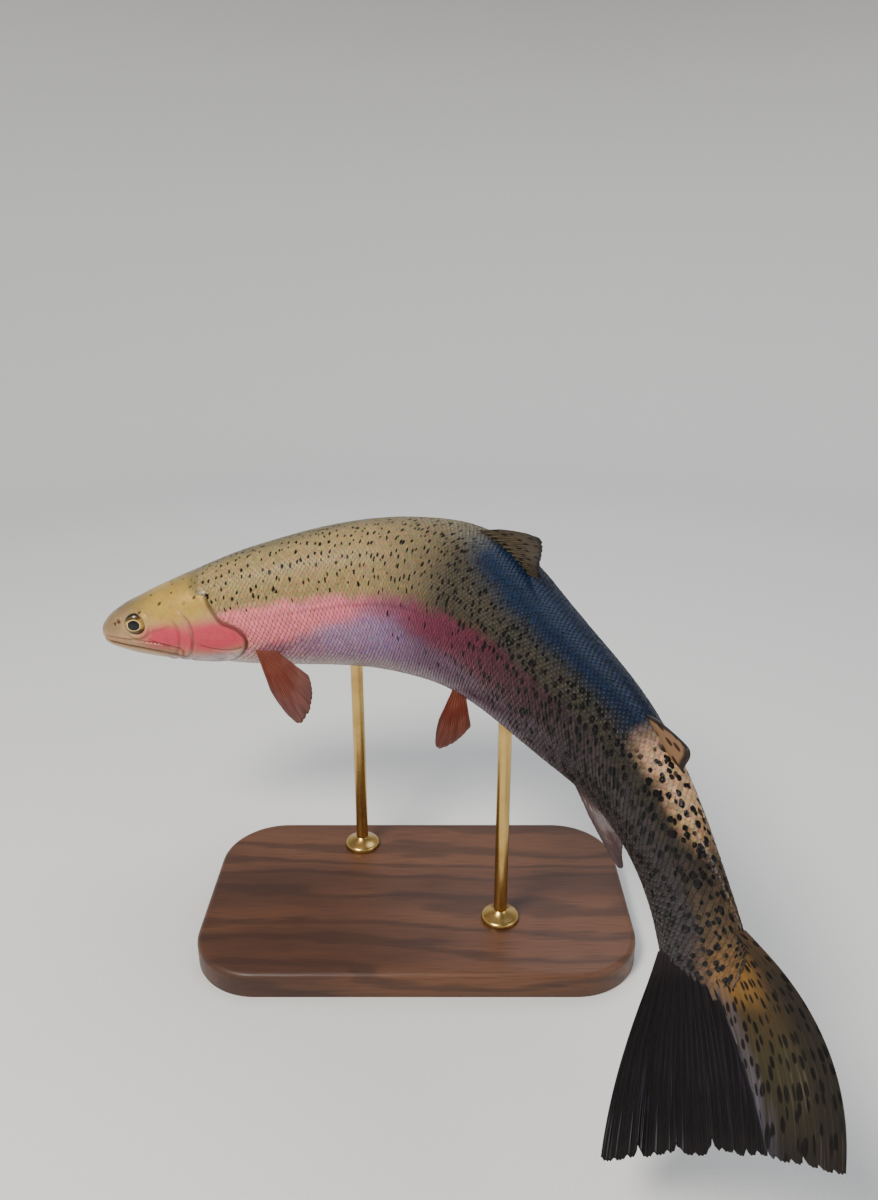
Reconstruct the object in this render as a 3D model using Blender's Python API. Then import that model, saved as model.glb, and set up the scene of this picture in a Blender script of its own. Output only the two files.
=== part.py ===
"""A life-size museum model of a large rainbow trout on a display stand, in Blender.

The trout hangs level over two rods, nose a little down, with its tail swept round to its own left and
drooping. Its body is one bent spine with an oval section at every station. That body is parted into
head, jaw, gill covers, two lengths of trunk and the tail stalk, and the fins are fans of rays that
grow out of it.

Metres, +Z up. The origin is the middle of the base's underside. The head points to -X and the tail
sweeps towards -Y. Stations along the body are shares of BODY_LENGTH, 0 at the snout and 1 at the root
of the tail fin, and turns round the body run from 0 at the back, through the left side, to the belly.
"""

import math

import bmesh
import bpy
import numpy as np

# Driving dimensions of the trout
BODY_LENGTH = 0.54
BODY_END = 1.03  # the flesh runs a little way out over the tail fin's rays
ANCHOR_STATION = 0.45
ANCHOR = (0.010, 0.040, 0.228)  # where the spine passes ANCHOR_STATION

# The pose: headings in degrees, and what the two bends add to them
HEAD_YAW, HEAD_PITCH, HEAD_ROLL = 0.0, 9.0, -1.5
ROLL_PER_LENGTH = -8.4
TRUNK_BEND = {"start": 0.257, "end": 0.634, "yaw": -65.0, "pitch": -15.3}
TAIL_BEND = {"start": 0.721, "end": 1.102, "yaw": -17.0, "pitch": -42.8}

# Station, height over the spine, depth under it and half width, as shares of BODY_LENGTH
STATIONS = np.array([
    (0.000, 0.003, 0.003, 0.003),
    (0.004, 0.0125, 0.0105, 0.012),
    (0.010, 0.0195, 0.0165, 0.019),
    (0.030, 0.0325, 0.028, 0.030),
    (0.060, 0.0435, 0.040, 0.0395),
    (0.100, 0.056, 0.052, 0.0475),
    (0.150, 0.069, 0.063, 0.0535),
    (0.200, 0.0805, 0.0725, 0.0575),
    (0.250, 0.0885, 0.081, 0.061),
    (0.350, 0.1000, 0.0942, 0.0670),
    (0.430, 0.1060, 0.1005, 0.0689),
    (0.500, 0.1095, 0.0995, 0.0677),
    (0.560, 0.1035, 0.0960, 0.0640),
    (0.650, 0.0870, 0.0845, 0.0563),
    (0.750, 0.0725, 0.0725, 0.046),
    (0.820, 0.0647, 0.0626, 0.0361),
    (0.880, 0.0587, 0.0565, 0.0281),
    (0.930, 0.0575, 0.0550, 0.0215),
    (0.970, 0.0610, 0.0585, 0.0150),
    (1.000, 0.0665, 0.0640, 0.0095),
    (1.030, 0.0720, 0.0690, 0.0045),
])
SECTION_POWER = 2.15  # 2 is an ellipse, and more is squarer
HEAD_TAPER, TRUNK_TAPER = 0.16, 0.05  # how much wider a section is above than below

# Where the body is parted, and the gap that parts it
HEAD_BACK, MID_TRUNK, VENT = 0.222, 0.50, 0.745
GAP = 0.0003

# The head, in metres behind the snout and above the spine
EYE_AT, EYE_RADIUS, EYE_DEPTH, EYE_SUNK = (0.0320, 0.0085), 0.0078, 0.0042, 0.0027
GILL_CREST = ((0.0735, -0.0060), (0.0730, 0.0200), (0.0810, 0.0265), (0.0925, 0.0065))
GILL_LOBE, GILL_LOBE_RADII = (0.0935, -0.0120), (0.0145, 0.0150)
GILL_HEEL = ((0.0860, -0.0300), (0.0695, -0.0290))
GILL_THICKNESS = 0.0026
GILL_REACH = (0.008, 0.060)  # how far out from the middle plane a gill cover's prism starts and ends
GILL_CORE = (0.05, 0.272)  # the stations the flesh under the gill covers runs between
MOUTH_LINE = ((-0.006, -0.0002), (0.008, -0.0035), (0.028, -0.0085), (0.048, -0.0150), (0.060, -0.0205))
JAW_HINGE, JAW_THROAT, JAW_FRONT = (0.069, -0.0290), (0.074, -0.060), (-0.006, -0.060)
JAW_REACH = (-0.060, 0.060)
HEAD_MIDDLE = 0.12  # the station whose axes are the head's own

# The other fins. base is the first and last station of the root, and turn is where it sits round the
# body. lead and last are the directions of the first and last ray, as tailward, up and left parts, and
# lengths are theirs. A paired fin is given for the left side.
MEDIAN_FINS = {
    "dorsal_fin": {
        "base": (0.495, 0.602), "turn": 0.0, "thick": 0.0036, "colour": "fin",
        "lead": (0.955, 0.27, 0.10), "last": (0.92, 0.30, 0.24), "lengths": (0.060, 0.027),
    },
    "adipose_fin": {
        "base": (0.822, 0.862), "turn": 0.0, "thick": 0.0042, "colour": "fin",
        "lead": (0.95, 0.30, 0.0), "last": (0.97, 0.22, 0.08), "lengths": (0.038, 0.022),
    },
    "anal_fin": {
        "base": (0.748, 0.835), "turn": 0.5, "thick": 0.0034, "colour": "belly_fin",
        "lead": (0.92, -0.40, 0.0), "last": (0.93, -0.36, 0.0), "lengths": (0.060, 0.025),
    },
}
PAIRED_FINS = {
    "pelvic_fin": {
        "base": (0.535, 0.560), "turn": 0.425, "thick": 0.0032,
        "lead": (0.50, -0.45, 0.72), "last": (0.84, -0.34, 0.36), "lengths": (0.052, 0.030),
    },
    "pectoral_fin": {
        "base": (0.205, 0.228), "turn": 0.345, "thick": 0.0036,
        "lead": (0.32, -0.54, 0.78), "last": (0.70, -0.50, 0.50), "lengths": (0.072, 0.036),
    },
}
FIN_EDGE, FIN_SUNK = 0.0009, 0.004  # how thick a fin is at its edge, and how deep its root goes

# The tail fin, in metres: its outer rays bulge, the whole fin curls left, and the lower lobe more
TAIL_ROOT_STATION = 1.015
TAIL_REACH, TAIL_FORK, TAIL_HALF_SPREAD, TAIL_BULGE = 0.0850, 0.0040, 0.0764, 0.0120
TAIL_CURL, TAIL_UPPER_BOW, TAIL_LOWER_BOW, TAIL_LOWER_CURL = 0.0083, -0.0040, 0.0038, 0.0248
TAIL_THICK = 0.0040

# The stand, in metres
BASE_SIZE, BASE_CORNER, BASE_EDGE = (0.300, 0.170, 0.018), 0.045, 0.004
ROD_RADIUS, ROD_FOOT_RADIUS, ROD_FOOT_HEIGHT = 0.0045, 0.0130, 0.0050
ROD_STATIONS = (0.330, 0.620)
ROD_INTO_BODY = 0.012

COLOURS = {
    "head": ((0.30, 0.24, 0.08), 0.35, 0.0),
    "jaw": ((0.50, 0.45, 0.34), 0.35, 0.0),
    "gill": ((0.62, 0.14, 0.13), 0.30, 0.1),
    "flank": ((0.36, 0.32, 0.20), 0.35, 0.1),
    "fin": ((0.24, 0.17, 0.11), 0.45, 0.0),
    "belly_fin": ((0.50, 0.20, 0.13), 0.45, 0.0),
    "eye": ((0.20, 0.14, 0.03), 0.08, 0.0),
    "wood": ((0.10, 0.045, 0.02), 0.40, 0.0),
    "brass": ((0.78, 0.58, 0.28), 0.25, 1.0),
}


# ---------------------------------------------------------------- curves and frames
def eased(s, bend):
    """How much of a bend is behind station s, from 0 to 1, with a soft start and end."""
    t = np.clip((s - bend["start"]) / (bend["end"] - bend["start"]), 0, 1)
    return t * t * (3 - 2 * t)


def headings(s):
    """Yaw, pitch and roll of the spine at station s, in radians."""
    trunk, tail = eased(s, TRUNK_BEND), eased(s, TAIL_BEND)
    yaw = HEAD_YAW + TRUNK_BEND["yaw"] * trunk + TAIL_BEND["yaw"] * tail
    pitch = HEAD_PITCH + TRUNK_BEND["pitch"] * trunk + TAIL_BEND["pitch"] * tail
    roll = HEAD_ROLL + ROLL_PER_LENGTH * s
    return np.radians(yaw), np.radians(pitch), np.radians(roll)


def axes_at(s):
    """The spine's own axes at station s: tailward, to the back and to the fish's left."""
    yaw, pitch, roll = headings(s)
    level = np.cos(pitch)
    tailward = np.stack([np.cos(yaw) * level, np.sin(yaw) * level, np.sin(pitch)], -1)
    up = np.array([0.0, 0.0, 1.0]) - tailward * tailward[..., 2:3]
    up /= np.linalg.norm(up, axis=-1, keepdims=True)
    left = np.cross(tailward, up)
    c, r = np.cos(roll)[..., None], np.sin(roll)[..., None]
    return tailward, c * up + r * left, c * left - r * up


SPINE_S = np.linspace(0, 1.2, 1201)
SPINE_AT = np.cumsum(axes_at(SPINE_S)[0], axis=0) * (SPINE_S[1] * BODY_LENGTH)
SPINE_AT += np.array(ANCHOR) - SPINE_AT[round(ANCHOR_STATION / SPINE_S[1])]


def spine_at(s):
    return np.stack([np.interp(s, SPINE_S, SPINE_AT[:, k]) for k in range(3)], -1)


def smooth(s, column):
    """A column of STATIONS at s, through cubics that share a slope where they meet."""
    x, y = STATIONS[:, 0], STATIONS[:, column]
    slope = np.gradient(y, x)
    i = np.clip(np.searchsorted(x, s, side="right") - 1, 0, len(x) - 2)
    step = x[i + 1] - x[i]
    t = np.clip((s - x[i]) / step, 0, 1)
    rise = y[i] * (1 + 2 * t) * (1 - t) ** 2 + y[i + 1] * t * t * (3 - 2 * t)
    return (rise + step * t * (1 - t) * ((1 - t) * slope[i] - t * slope[i + 1])) * BODY_LENGTH


def body_point(s, turn, grow=0.0):
    """The body's surface at a station and a turn from 0 to 1, moved out by grow."""
    s, turn = np.broadcast_arrays(np.asarray(s, float), np.asarray(turn, float))
    c, n = np.cos(2 * np.pi * turn), np.sin(2 * np.pi * turn)
    power = 2 / SECTION_POWER
    height = np.where(c > 0, smooth(s, 1), smooth(s, 2)) + grow
    taper = HEAD_TAPER + (TRUNK_TAPER - HEAD_TAPER) * np.clip(s / HEAD_BACK - 0.5, 0, 1)
    rise = np.sign(c) * np.abs(c) ** power
    side = np.sign(n) * np.abs(n) ** power * (1 + taper * rise)
    _, up, left = axes_at(s)
    return spine_at(s) + up * (height * rise)[..., None] + left * ((smooth(s, 3) + grow) * side)[..., None]


def in_head(x, height, side=0.0):
    """A point given in the head's own straight frame, in metres from the snout."""
    tailward, up, left = axes_at(np.array(HEAD_MIDDLE))
    return spine_at(np.array(0.0)) + tailward * x + up * height + left * side


# ---------------------------------------------------------------- shapes
def finished(name, bm, colour=None):
    """A bmesh made an object, faces out. With no colour it is a helper that only shapes others."""
    bmesh.ops.recalc_face_normals(bm, faces=bm.faces)
    mesh = bpy.data.meshes.new(name)
    bm.to_mesh(mesh)
    bm.free()
    obj = bpy.data.objects.new(name, mesh)
    bpy.context.scene.collection.objects.link(obj)
    if colour is None:
        obj.hide_render = True
        obj.display_type = "WIRE"
    else:
        mesh.materials.append(MATERIALS[colour])
        mesh.shade_smooth()
        mesh.set_sharp_from_angle(angle=math.radians(40))
    return obj


def rolled(rows, columns, place):
    """A sheet of squares rolled into a tube and closed by strips across both ends: place(u, v) gives
    its points, for u along the tube and v round it."""
    bm = bmesh.new()
    bmesh.ops.create_grid(bm, x_segments=rows, y_segments=columns, size=0.5)
    half = columns // 2
    for end in (-0.5, 0.5):
        ring = sorted((v for v in bm.verts if abs(v.co.x - end) < 1e-6), key=lambda v: v.co.y)
        for k in range(half - 1):
            bm.faces.new((ring[k], ring[k + 1], ring[-k - 2], ring[-k - 1]))
        bm.faces.new(ring[half - 1 : half + 2])
    uv = np.array([v.co[:2] for v in bm.verts]) + 0.5
    for vertex, point in zip(bm.verts, place(uv[:, 0], uv[:, 1])):
        vertex.co = point
    bmesh.ops.remove_doubles(bm, verts=bm.verts, dist=1e-6)
    return bm


def body_length(start, end, rows, columns, grow=0.0, crowd=1.0):
    """A length of the body; crowd above 1 draws the rows towards its start."""
    return rolled(rows, columns, lambda u, v: body_point(start + (end - start) * u**crowd, v % 1, grow))


def side_prism(outline, near, far, grow=0.0):
    """A prism over an outline drawn on the head's side view, from near to far out to the left."""
    points = np.array(outline)
    middle = points.mean(0)
    out = points - middle
    points = middle + out * (1 + grow / np.linalg.norm(out, axis=1))[:, None]
    bm = bmesh.new()
    face = bm.faces.new([bm.verts.new(in_head(x, h, near)) for x, h in points])
    raised = bmesh.ops.extrude_face_region(bm, geom=[face])["geom"]
    shift = in_head(0, 0, far) - in_head(0, 0, near)
    bmesh.ops.translate(bm, verts=[g for g in raised if isinstance(g, bmesh.types.BMVert)], vec=shift)
    bmesh.ops.triangulate(bm, faces=bm.faces)
    return bm


def ellipsoid(centre, radii, axes, grow=0.0):
    bm = bmesh.new()
    bmesh.ops.create_uvsphere(bm, u_segments=14, v_segments=8, radius=1)
    for vertex in bm.verts:
        parts = [(r + grow) * k for r, k in zip(radii, vertex.co)]
        vertex.co = centre + sum(p * np.asarray(axis) for p, axis in zip(parts, axes))
    return bm


def boolean(obj, other, operation="DIFFERENCE"):
    modifier = obj.modifiers.new(f"{operation.lower()}_{other.name}", "BOOLEAN")
    modifier.operation = operation
    modifier.object = other
    modifier.solver = "EXACT"


# ---------------------------------------------------------------- fins
def fan(root, ray, length, root_thick, edge_thick, columns=9, rows=5, curl=None):
    """A fin as a fan of rays. For w from 0 at the leading ray to 1 at the last one, root(w) is where a
    ray starts, ray(w) its direction and length(w) its length, and curl(w, t) bends it off the plane."""

    def middle(w, t):
        point = root(w) + ray(w) * (length(w) * t)[..., None]
        return point if curl is None else point + curl(w, t)

    def place(u, v):
        turn = 2 * np.pi * (v % 1)
        w = (1 - np.cos(turn)) / 2
        rounding = np.sign(np.sin(turn)) * np.abs(np.sin(turn)) ** 0.5
        d = 1e-3
        across = middle(np.clip(w + d, 0, 1), u) - middle(np.clip(w - d, 0, 1), u)
        along = middle(w, np.clip(u + d, 0, 1)) - middle(w, np.clip(u - d, 0, 1))
        normal = np.cross(across, along)
        normal /= np.linalg.norm(normal, axis=-1, keepdims=True)
        half = (root_thick + (edge_thick - root_thick) * u**0.7) / 2
        return middle(w, u) + normal * (rounding * half)[..., None]

    return rolled(rows, 2 * columns, place)


def towards(base, lead, last):
    """Ray directions, from lead to last, each given as its tailward, up and left parts."""

    def ray(w):
        axes = axes_at(base[0] + (base[1] - base[0]) * w)
        parts = np.array(lead) + (np.array(last) - np.array(lead)) * w[..., None]
        way = sum(parts[..., k : k + 1] * axes[k] for k in range(3))
        return way / np.linalg.norm(way, axis=-1, keepdims=True)

    return ray


def rounded_length(lead, last, corner=0.16):
    """Ray lengths that rise quickly to the fin's corner and then fall to the last ray."""

    def length(w):
        rise = np.sin(np.clip(w / corner, 0, 1) * np.pi / 2)
        fall = np.clip((w - corner) / (1 - corner), 0, 1)
        return lead * (0.55 + 0.45 * rise) * (1 - fall) + last * fall

    return length


def small_fin(name, base, turn, lead, last, lengths, thick, colour):
    """A fin whose root follows the body's surface, sunk a little into it, and is cut off under the skin."""

    def root(w):
        return body_point(base[0] + (base[1] - base[0]) * w, turn, -FIN_SUNK)

    shape = fan(root, towards(base, lead, last), rounded_length(*lengths), thick, FIN_EDGE)
    boolean(finished(name, shape, colour), BODY_CUTTER)


def paired_fins(name, base, turn, lead, last, lengths, thick):
    """A left and a right fin. The right one's turn and leftward parts are the left one's, turned over."""
    for side, sign in (("left", 1), ("right", -1)):
        flip = np.array((1, 1, sign))
        side_turn = turn if sign > 0 else 1 - turn
        small_fin(f"{name}_{side}", base, side_turn, flip * lead, flip * last, lengths, thick, "belly_fin")


def tail_fin():
    """The tail fin spreads from the end of the flesh in two lobes, 1 at the top and -1 at the bottom."""
    start = np.array(TAIL_ROOT_STATION)
    tailward, up, left = (axis[None] for axis in axes_at(start))
    centre = spine_at(start)[None]
    high, low = smooth(start, 1), smooth(start, 2)

    def rise(w):
        return high - (high + low) * w

    def root(w):
        return centre + up * rise(w)[..., None]

    def reach(w):
        lobe = 1 - 2 * w
        spread = TAIL_HALF_SPREAD * lobe - rise(w)
        return up * spread[..., None] + tailward * (TAIL_REACH + TAIL_FORK * np.abs(lobe))[..., None]

    def length(w):
        return np.linalg.norm(reach(w), axis=-1)

    def ray(w):
        return reach(w) / length(w)[..., None]

    def curl(w, t):
        lobe = 1 - 2 * w
        bow = 4 * t * (1 - t)
        upper, lower = np.clip(lobe, 0, 1) ** 1.2, np.clip(-lobe, 0, 1) ** 1.2
        leftward = TAIL_CURL * t**2 + upper * TAIL_UPPER_BOW * bow
        leftward = leftward + lower * (TAIL_LOWER_CURL * t**1.5 + TAIL_LOWER_BOW * bow)
        return left * leftward[..., None] + up * (TAIL_BULGE * lobe * bow)[..., None]

    shape = fan(root, ray, length, TAIL_THICK, FIN_EDGE, columns=16, rows=8, curl=curl)
    boolean(finished("tail_fin", shape, "fin"), BODY_CUTTER)


# ---------------------------------------------------------------- head
def gill_outline():
    """The gill cover in side view: its crest slopes back to a round lobe, and its heel is low."""
    arc = [math.radians(a) for a in range(50, -81, -26)]
    (x, height), (rx, ry) = GILL_LOBE, GILL_LOBE_RADII
    return [*GILL_CREST, *((x + rx * math.cos(a), height + ry * math.sin(a)) for a in arc), *GILL_HEEL]


def eye_sphere(sign, grow):
    """An eye is a flattened ball, and its outer face stands a little proud of the head."""
    x, height = EYE_AT
    tailward, up, left = axes_at(np.array(HEAD_MIDDLE))
    half_width = smooth(np.array(x / BODY_LENGTH), 3)
    centre = in_head(x, height, sign * (half_width - EYE_SUNK))
    return ellipsoid(centre, (EYE_RADIUS, EYE_RADIUS, EYE_DEPTH), (tailward, up, left), grow)


def head_parts():
    """Head, lower jaw, two gill covers and two eyes, parted from one head by prisms and balls."""
    def whole():
        return body_length(0, HEAD_BACK, 18, 32, crowd=1.7)

    def flesh(depth):
        return body_length(*GILL_CORE, 12, 32, -depth)

    head = finished("head", whole(), "head")
    jaw = finished("lower_jaw", whole(), "jaw")
    mouth = list(MOUTH_LINE) + [JAW_HINGE, JAW_THROAT, JAW_FRONT]
    boolean(jaw, finished("jaw_prism", side_prism(mouth, *JAW_REACH)), "INTERSECT")
    boolean(head, finished("jaw_space", side_prism(mouth, *JAW_REACH, 2 * GAP)))
    core = finished("gill_core", flesh(GILL_THICKNESS))
    inner = finished("gill_floor", flesh(GILL_THICKNESS + GAP))
    for side, sign in (("left", 1), ("right", -1)):
        cover = finished(f"gill_cover_{side}", whole(), "gill")
        reach = [sign * r for r in GILL_REACH]
        boolean(cover, finished(f"gill_prism_{side}", side_prism(gill_outline(), *reach)), "INTERSECT")
        boolean(cover, core)
        space = finished(f"gill_space_{side}", side_prism(gill_outline(), *reach, 2 * GAP))
        boolean(space, inner)
        boolean(head, space)
        finished(f"eye_{side}", eye_sphere(sign, 0), "eye")
        boolean(head, finished(f"eye_socket_{side}", eye_sphere(sign, GAP)))


# ---------------------------------------------------------------- stand
def turned(profile, steps=16):
    """A solid turned about +Z from (radius, height) points that start and end on the axis."""
    bm = bmesh.new()
    verts = [bm.verts.new((r, 0, z)) for r, z in profile]
    edges = [bm.edges.new(pair) for pair in zip(verts, verts[1:])]
    bmesh.ops.spin(bm, geom=verts + edges, cent=(0, 0, 0), axis=(0, 0, 1), dvec=(0, 0, 0),
                   angle=2 * math.pi, steps=steps, use_merge=True)
    bmesh.ops.remove_doubles(bm, verts=bm.verts, dist=1e-6)
    return bm


def stand():
    """A wooden base with rounded corners, and two rods with a foot, cut off under the belly's skin."""
    height = BASE_SIZE[2]
    bm = bmesh.new()
    bmesh.ops.create_cube(bm, size=1)
    bmesh.ops.scale(bm, verts=bm.verts, vec=BASE_SIZE)
    bmesh.ops.translate(bm, verts=bm.verts, vec=(0, 0, height / 2))
    upright = [e for e in bm.edges if abs(e.verts[0].co.z - e.verts[1].co.z) > height / 2]
    bmesh.ops.bevel(bm, geom=upright, offset=BASE_CORNER, segments=6, profile=0.5, affect="EDGES")
    rim = [e for e in bm.edges if min(v.co.z for v in e.verts) > height - 1e-6 and len(e.link_faces) == 2
           and any(abs(f.normal.z) < 0.5 for f in e.link_faces)]
    bmesh.ops.bevel(bm, geom=rim, offset=BASE_EDGE, segments=3, profile=0.5, affect="EDGES")
    bmesh.ops.triangulate(bm, faces=bm.faces)
    finished("stand_base", bm, "wood")
    for side, station in zip(("front", "rear"), ROD_STATIONS):
        belly = body_point(station, 0.5)
        foot = height + GAP
        top = belly[2] + ROD_INTO_BODY
        foot_profile = [(0, 0), (1.0, 0), (1.0, 0.6), (0.7, 1.0)]
        profile = [(r * ROD_FOOT_RADIUS, foot + z * ROD_FOOT_HEIGHT) for r, z in foot_profile]
        profile += [(ROD_RADIUS, foot + 1.6 * ROD_FOOT_HEIGHT), (ROD_RADIUS, top), (0, top)]
        rod = finished(f"stand_rod_{side}", turned(profile), "brass")
        rod.location = (belly[0], belly[1], 0)
        boolean(rod, BODY_CUTTER)


# ---------------------------------------------------------------- build
def material(name, colour, roughness, metallic):
    made = bpy.data.materials.new(name)
    made.use_nodes = True
    shader = made.node_tree.nodes["Principled BSDF"]
    shader.inputs["Base Color"].default_value = (*colour, 1)
    shader.inputs["Roughness"].default_value = roughness
    shader.inputs["Metallic"].default_value = metallic
    made.diffuse_color = (*colour, 1)
    return made


for leftover in list(bpy.data.objects):
    bpy.data.objects.remove(leftover)
MATERIALS = {name: material(name, *look) for name, look in COLOURS.items()}
BODY_CUTTER = finished("body_cutter", body_length(0, BODY_END, 60, 36, GAP, 1.15))

head_parts()
part = GAP / BODY_LENGTH
finished("trunk_front", body_length(HEAD_BACK + part, MID_TRUNK, 12, 32), "flank")
finished("trunk_rear", body_length(MID_TRUNK + part, VENT, 12, 32), "flank")
finished("tail_stalk", body_length(VENT + part, BODY_END, 14, 28), "flank")
tail_fin()
for name, fin in MEDIAN_FINS.items():
    small_fin(name, **fin)
for name, fin in PAIRED_FINS.items():
    paired_fins(name, **fin)
stand()
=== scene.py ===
# %% [markdown]
# # A life-size rainbow trout for a museum case
# The model hangs over two brass rods on a walnut base, its tail swept round and drooping. The solid
# parts come packed, and this lesson dresses them: one skin over the flesh, a coat of scales, fins with
# real rays, glass eyes, and a finish for each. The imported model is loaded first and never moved.

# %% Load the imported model
import math

import bmesh
import bpy
import numpy as np
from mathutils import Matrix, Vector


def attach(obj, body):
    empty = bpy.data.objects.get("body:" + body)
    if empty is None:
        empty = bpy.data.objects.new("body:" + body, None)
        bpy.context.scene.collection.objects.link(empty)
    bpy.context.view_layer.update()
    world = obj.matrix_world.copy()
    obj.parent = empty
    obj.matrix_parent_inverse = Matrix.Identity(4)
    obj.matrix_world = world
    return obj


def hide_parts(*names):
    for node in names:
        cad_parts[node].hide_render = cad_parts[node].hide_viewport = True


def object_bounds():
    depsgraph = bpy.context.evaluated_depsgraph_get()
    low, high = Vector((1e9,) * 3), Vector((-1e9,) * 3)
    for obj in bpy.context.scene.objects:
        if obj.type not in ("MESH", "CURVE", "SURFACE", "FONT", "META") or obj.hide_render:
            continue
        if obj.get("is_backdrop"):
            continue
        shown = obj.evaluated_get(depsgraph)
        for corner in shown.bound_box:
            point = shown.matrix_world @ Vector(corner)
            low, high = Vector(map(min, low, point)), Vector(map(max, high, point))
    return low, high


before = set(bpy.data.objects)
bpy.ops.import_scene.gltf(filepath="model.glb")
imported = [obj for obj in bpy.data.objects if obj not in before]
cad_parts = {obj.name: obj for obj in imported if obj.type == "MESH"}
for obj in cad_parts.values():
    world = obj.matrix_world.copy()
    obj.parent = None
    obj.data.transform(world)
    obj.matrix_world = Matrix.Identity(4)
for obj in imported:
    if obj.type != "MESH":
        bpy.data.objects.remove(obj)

cad_box = [list(corner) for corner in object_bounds()]
print("nodes:", len(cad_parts), "box:", [[round(c, 3) for c in corner] for corner in cad_box])

# %% [markdown]
# ## The camera
# The visitor looks a little down on the fish from its left side, close enough that its tail comes
# towards them. A wide lens at a short distance gives that sense of reach, which a long lens would
# flatten, so the camera stands about 0.6 m away.

# %% Set up the camera
CAMERA_AT, LOOKING_DOWN = (0.0153, -0.5715, 0.4659), 21.17
LENS, SENSOR, NEAREST = 28.67, 36, 0.01
camera = bpy.data.objects.new("camera", bpy.data.cameras.new("camera"))
camera.location = CAMERA_AT
camera.rotation_euler = (math.radians(90 - LOOKING_DOWN), 0, 0)
camera.data.lens, camera.data.sensor_width, camera.data.clip_start = LENS, SENSOR, NEAREST
bpy.context.scene.collection.objects.link(camera)
bpy.context.scene.camera = camera
print("camera at", CAMERA_AT)

# %% [markdown]
# ## Making and finishing pieces
# Every piece becomes an object at the origin, with its place in its mesh. One helper turns a bmesh's
# faces out and makes it a mesh. Another does the last steps for all of them: it shades the piece smooth,
# but for edges sharper than the angle it is given, hides the solids the piece stands for, and hangs the
# piece on the root body when it is given a slot.


# %% Turn a bmesh into a piece
def piece(name, bm, finish, slot=None, stands_for=(), sharp=None):
    bmesh.ops.recalc_face_normals(bm, faces=bm.faces)
    mesh = bpy.data.meshes.new(name)
    bm.to_mesh(mesh)
    bm.free()
    return dressed(name, mesh, finish, slot, stands_for, sharp)


def dressed(name, mesh, finish, slot=None, stands_for=(), sharp=None):
    mesh.materials.append(finish)
    mesh.shade_smooth()
    if sharp:
        mesh.set_sharp_from_angle(angle=math.radians(sharp))
    obj = bpy.data.objects.new(name, mesh)
    bpy.context.scene.collection.objects.link(obj)
    if slot:
        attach(obj, "root")
    if stands_for:
        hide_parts(*stands_for)
    print(name, sum(len(face.vertices) - 2 for face in mesh.polygons), "triangles")
    return obj


# %% [markdown]
# ## Shader sums written as sums
# A finish is a web of nodes, and wiring them by hand hides the idea. Here a socket is wrapped so that
# it can be added, multiplied and compared like a number, and each sum adds its Math node. Everything
# else goes through one method, `add`, which takes a node's type, its settings and its inputs.


# %% Wrap a socket so that it can be reckoned with
class Value:
    def __init__(self, finish, node, output=0):
        self.finish, self.node, self.socket = finish, node, node.outputs[output]

    def other(self, output):
        return Value(self.finish, self.node, output)

    def maths(self, operation, *others):
        inputs = dict(enumerate((self, *others)))
        return self.finish.add("ShaderNodeMath", {"operation": operation}, inputs)

    def __add__(self, other):
        return self.maths("ADD", other)

    def __sub__(self, other):
        return self.maths("SUBTRACT", other)

    def __mul__(self, other):
        return self.maths("MULTIPLY", other)

    def __truediv__(self, other):
        return self.maths("DIVIDE", other)

    def __rsub__(self, other):
        return (self * -1).maths("ADD", other)

    def __pow__(self, other):
        return self.maths("POWER", other)

    __radd__, __rmul__ = __add__, __mul__

    def __abs__(self):
        return self.maths("ABSOLUTE")

    def rising(self, low, high):
        """0 below low and 1 above high, with a soft start and end. Falls if low is above high."""
        settings = {"interpolation_type": "SMOOTHSTEP"}
        inputs = {"Value": self, "From Min": low, "From Max": high}
        return self.finish.add("ShaderNodeMapRange", settings, inputs)

    def ramp(self, *stops):
        """A colour that follows the value: each stop is a place and a colour."""
        return self.finish.add("ShaderNodeValToRGB", {"stops": stops}, {"Fac": self})


# %% Mix a colour
def tint(red, green, blue):
    """A colour as a painter mixes it, from 0 to 255, turned into the light it reflects."""
    parts = [c / 255 for c in (red, green, blue)]
    return (*(c / 12.92 if c <= 0.04045 else ((c + 0.055) / 1.055) ** 2.4 for c in parts), 1.0)


print("middle grey reflects", round(tint(128, 128, 128)[0], 2))


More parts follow.
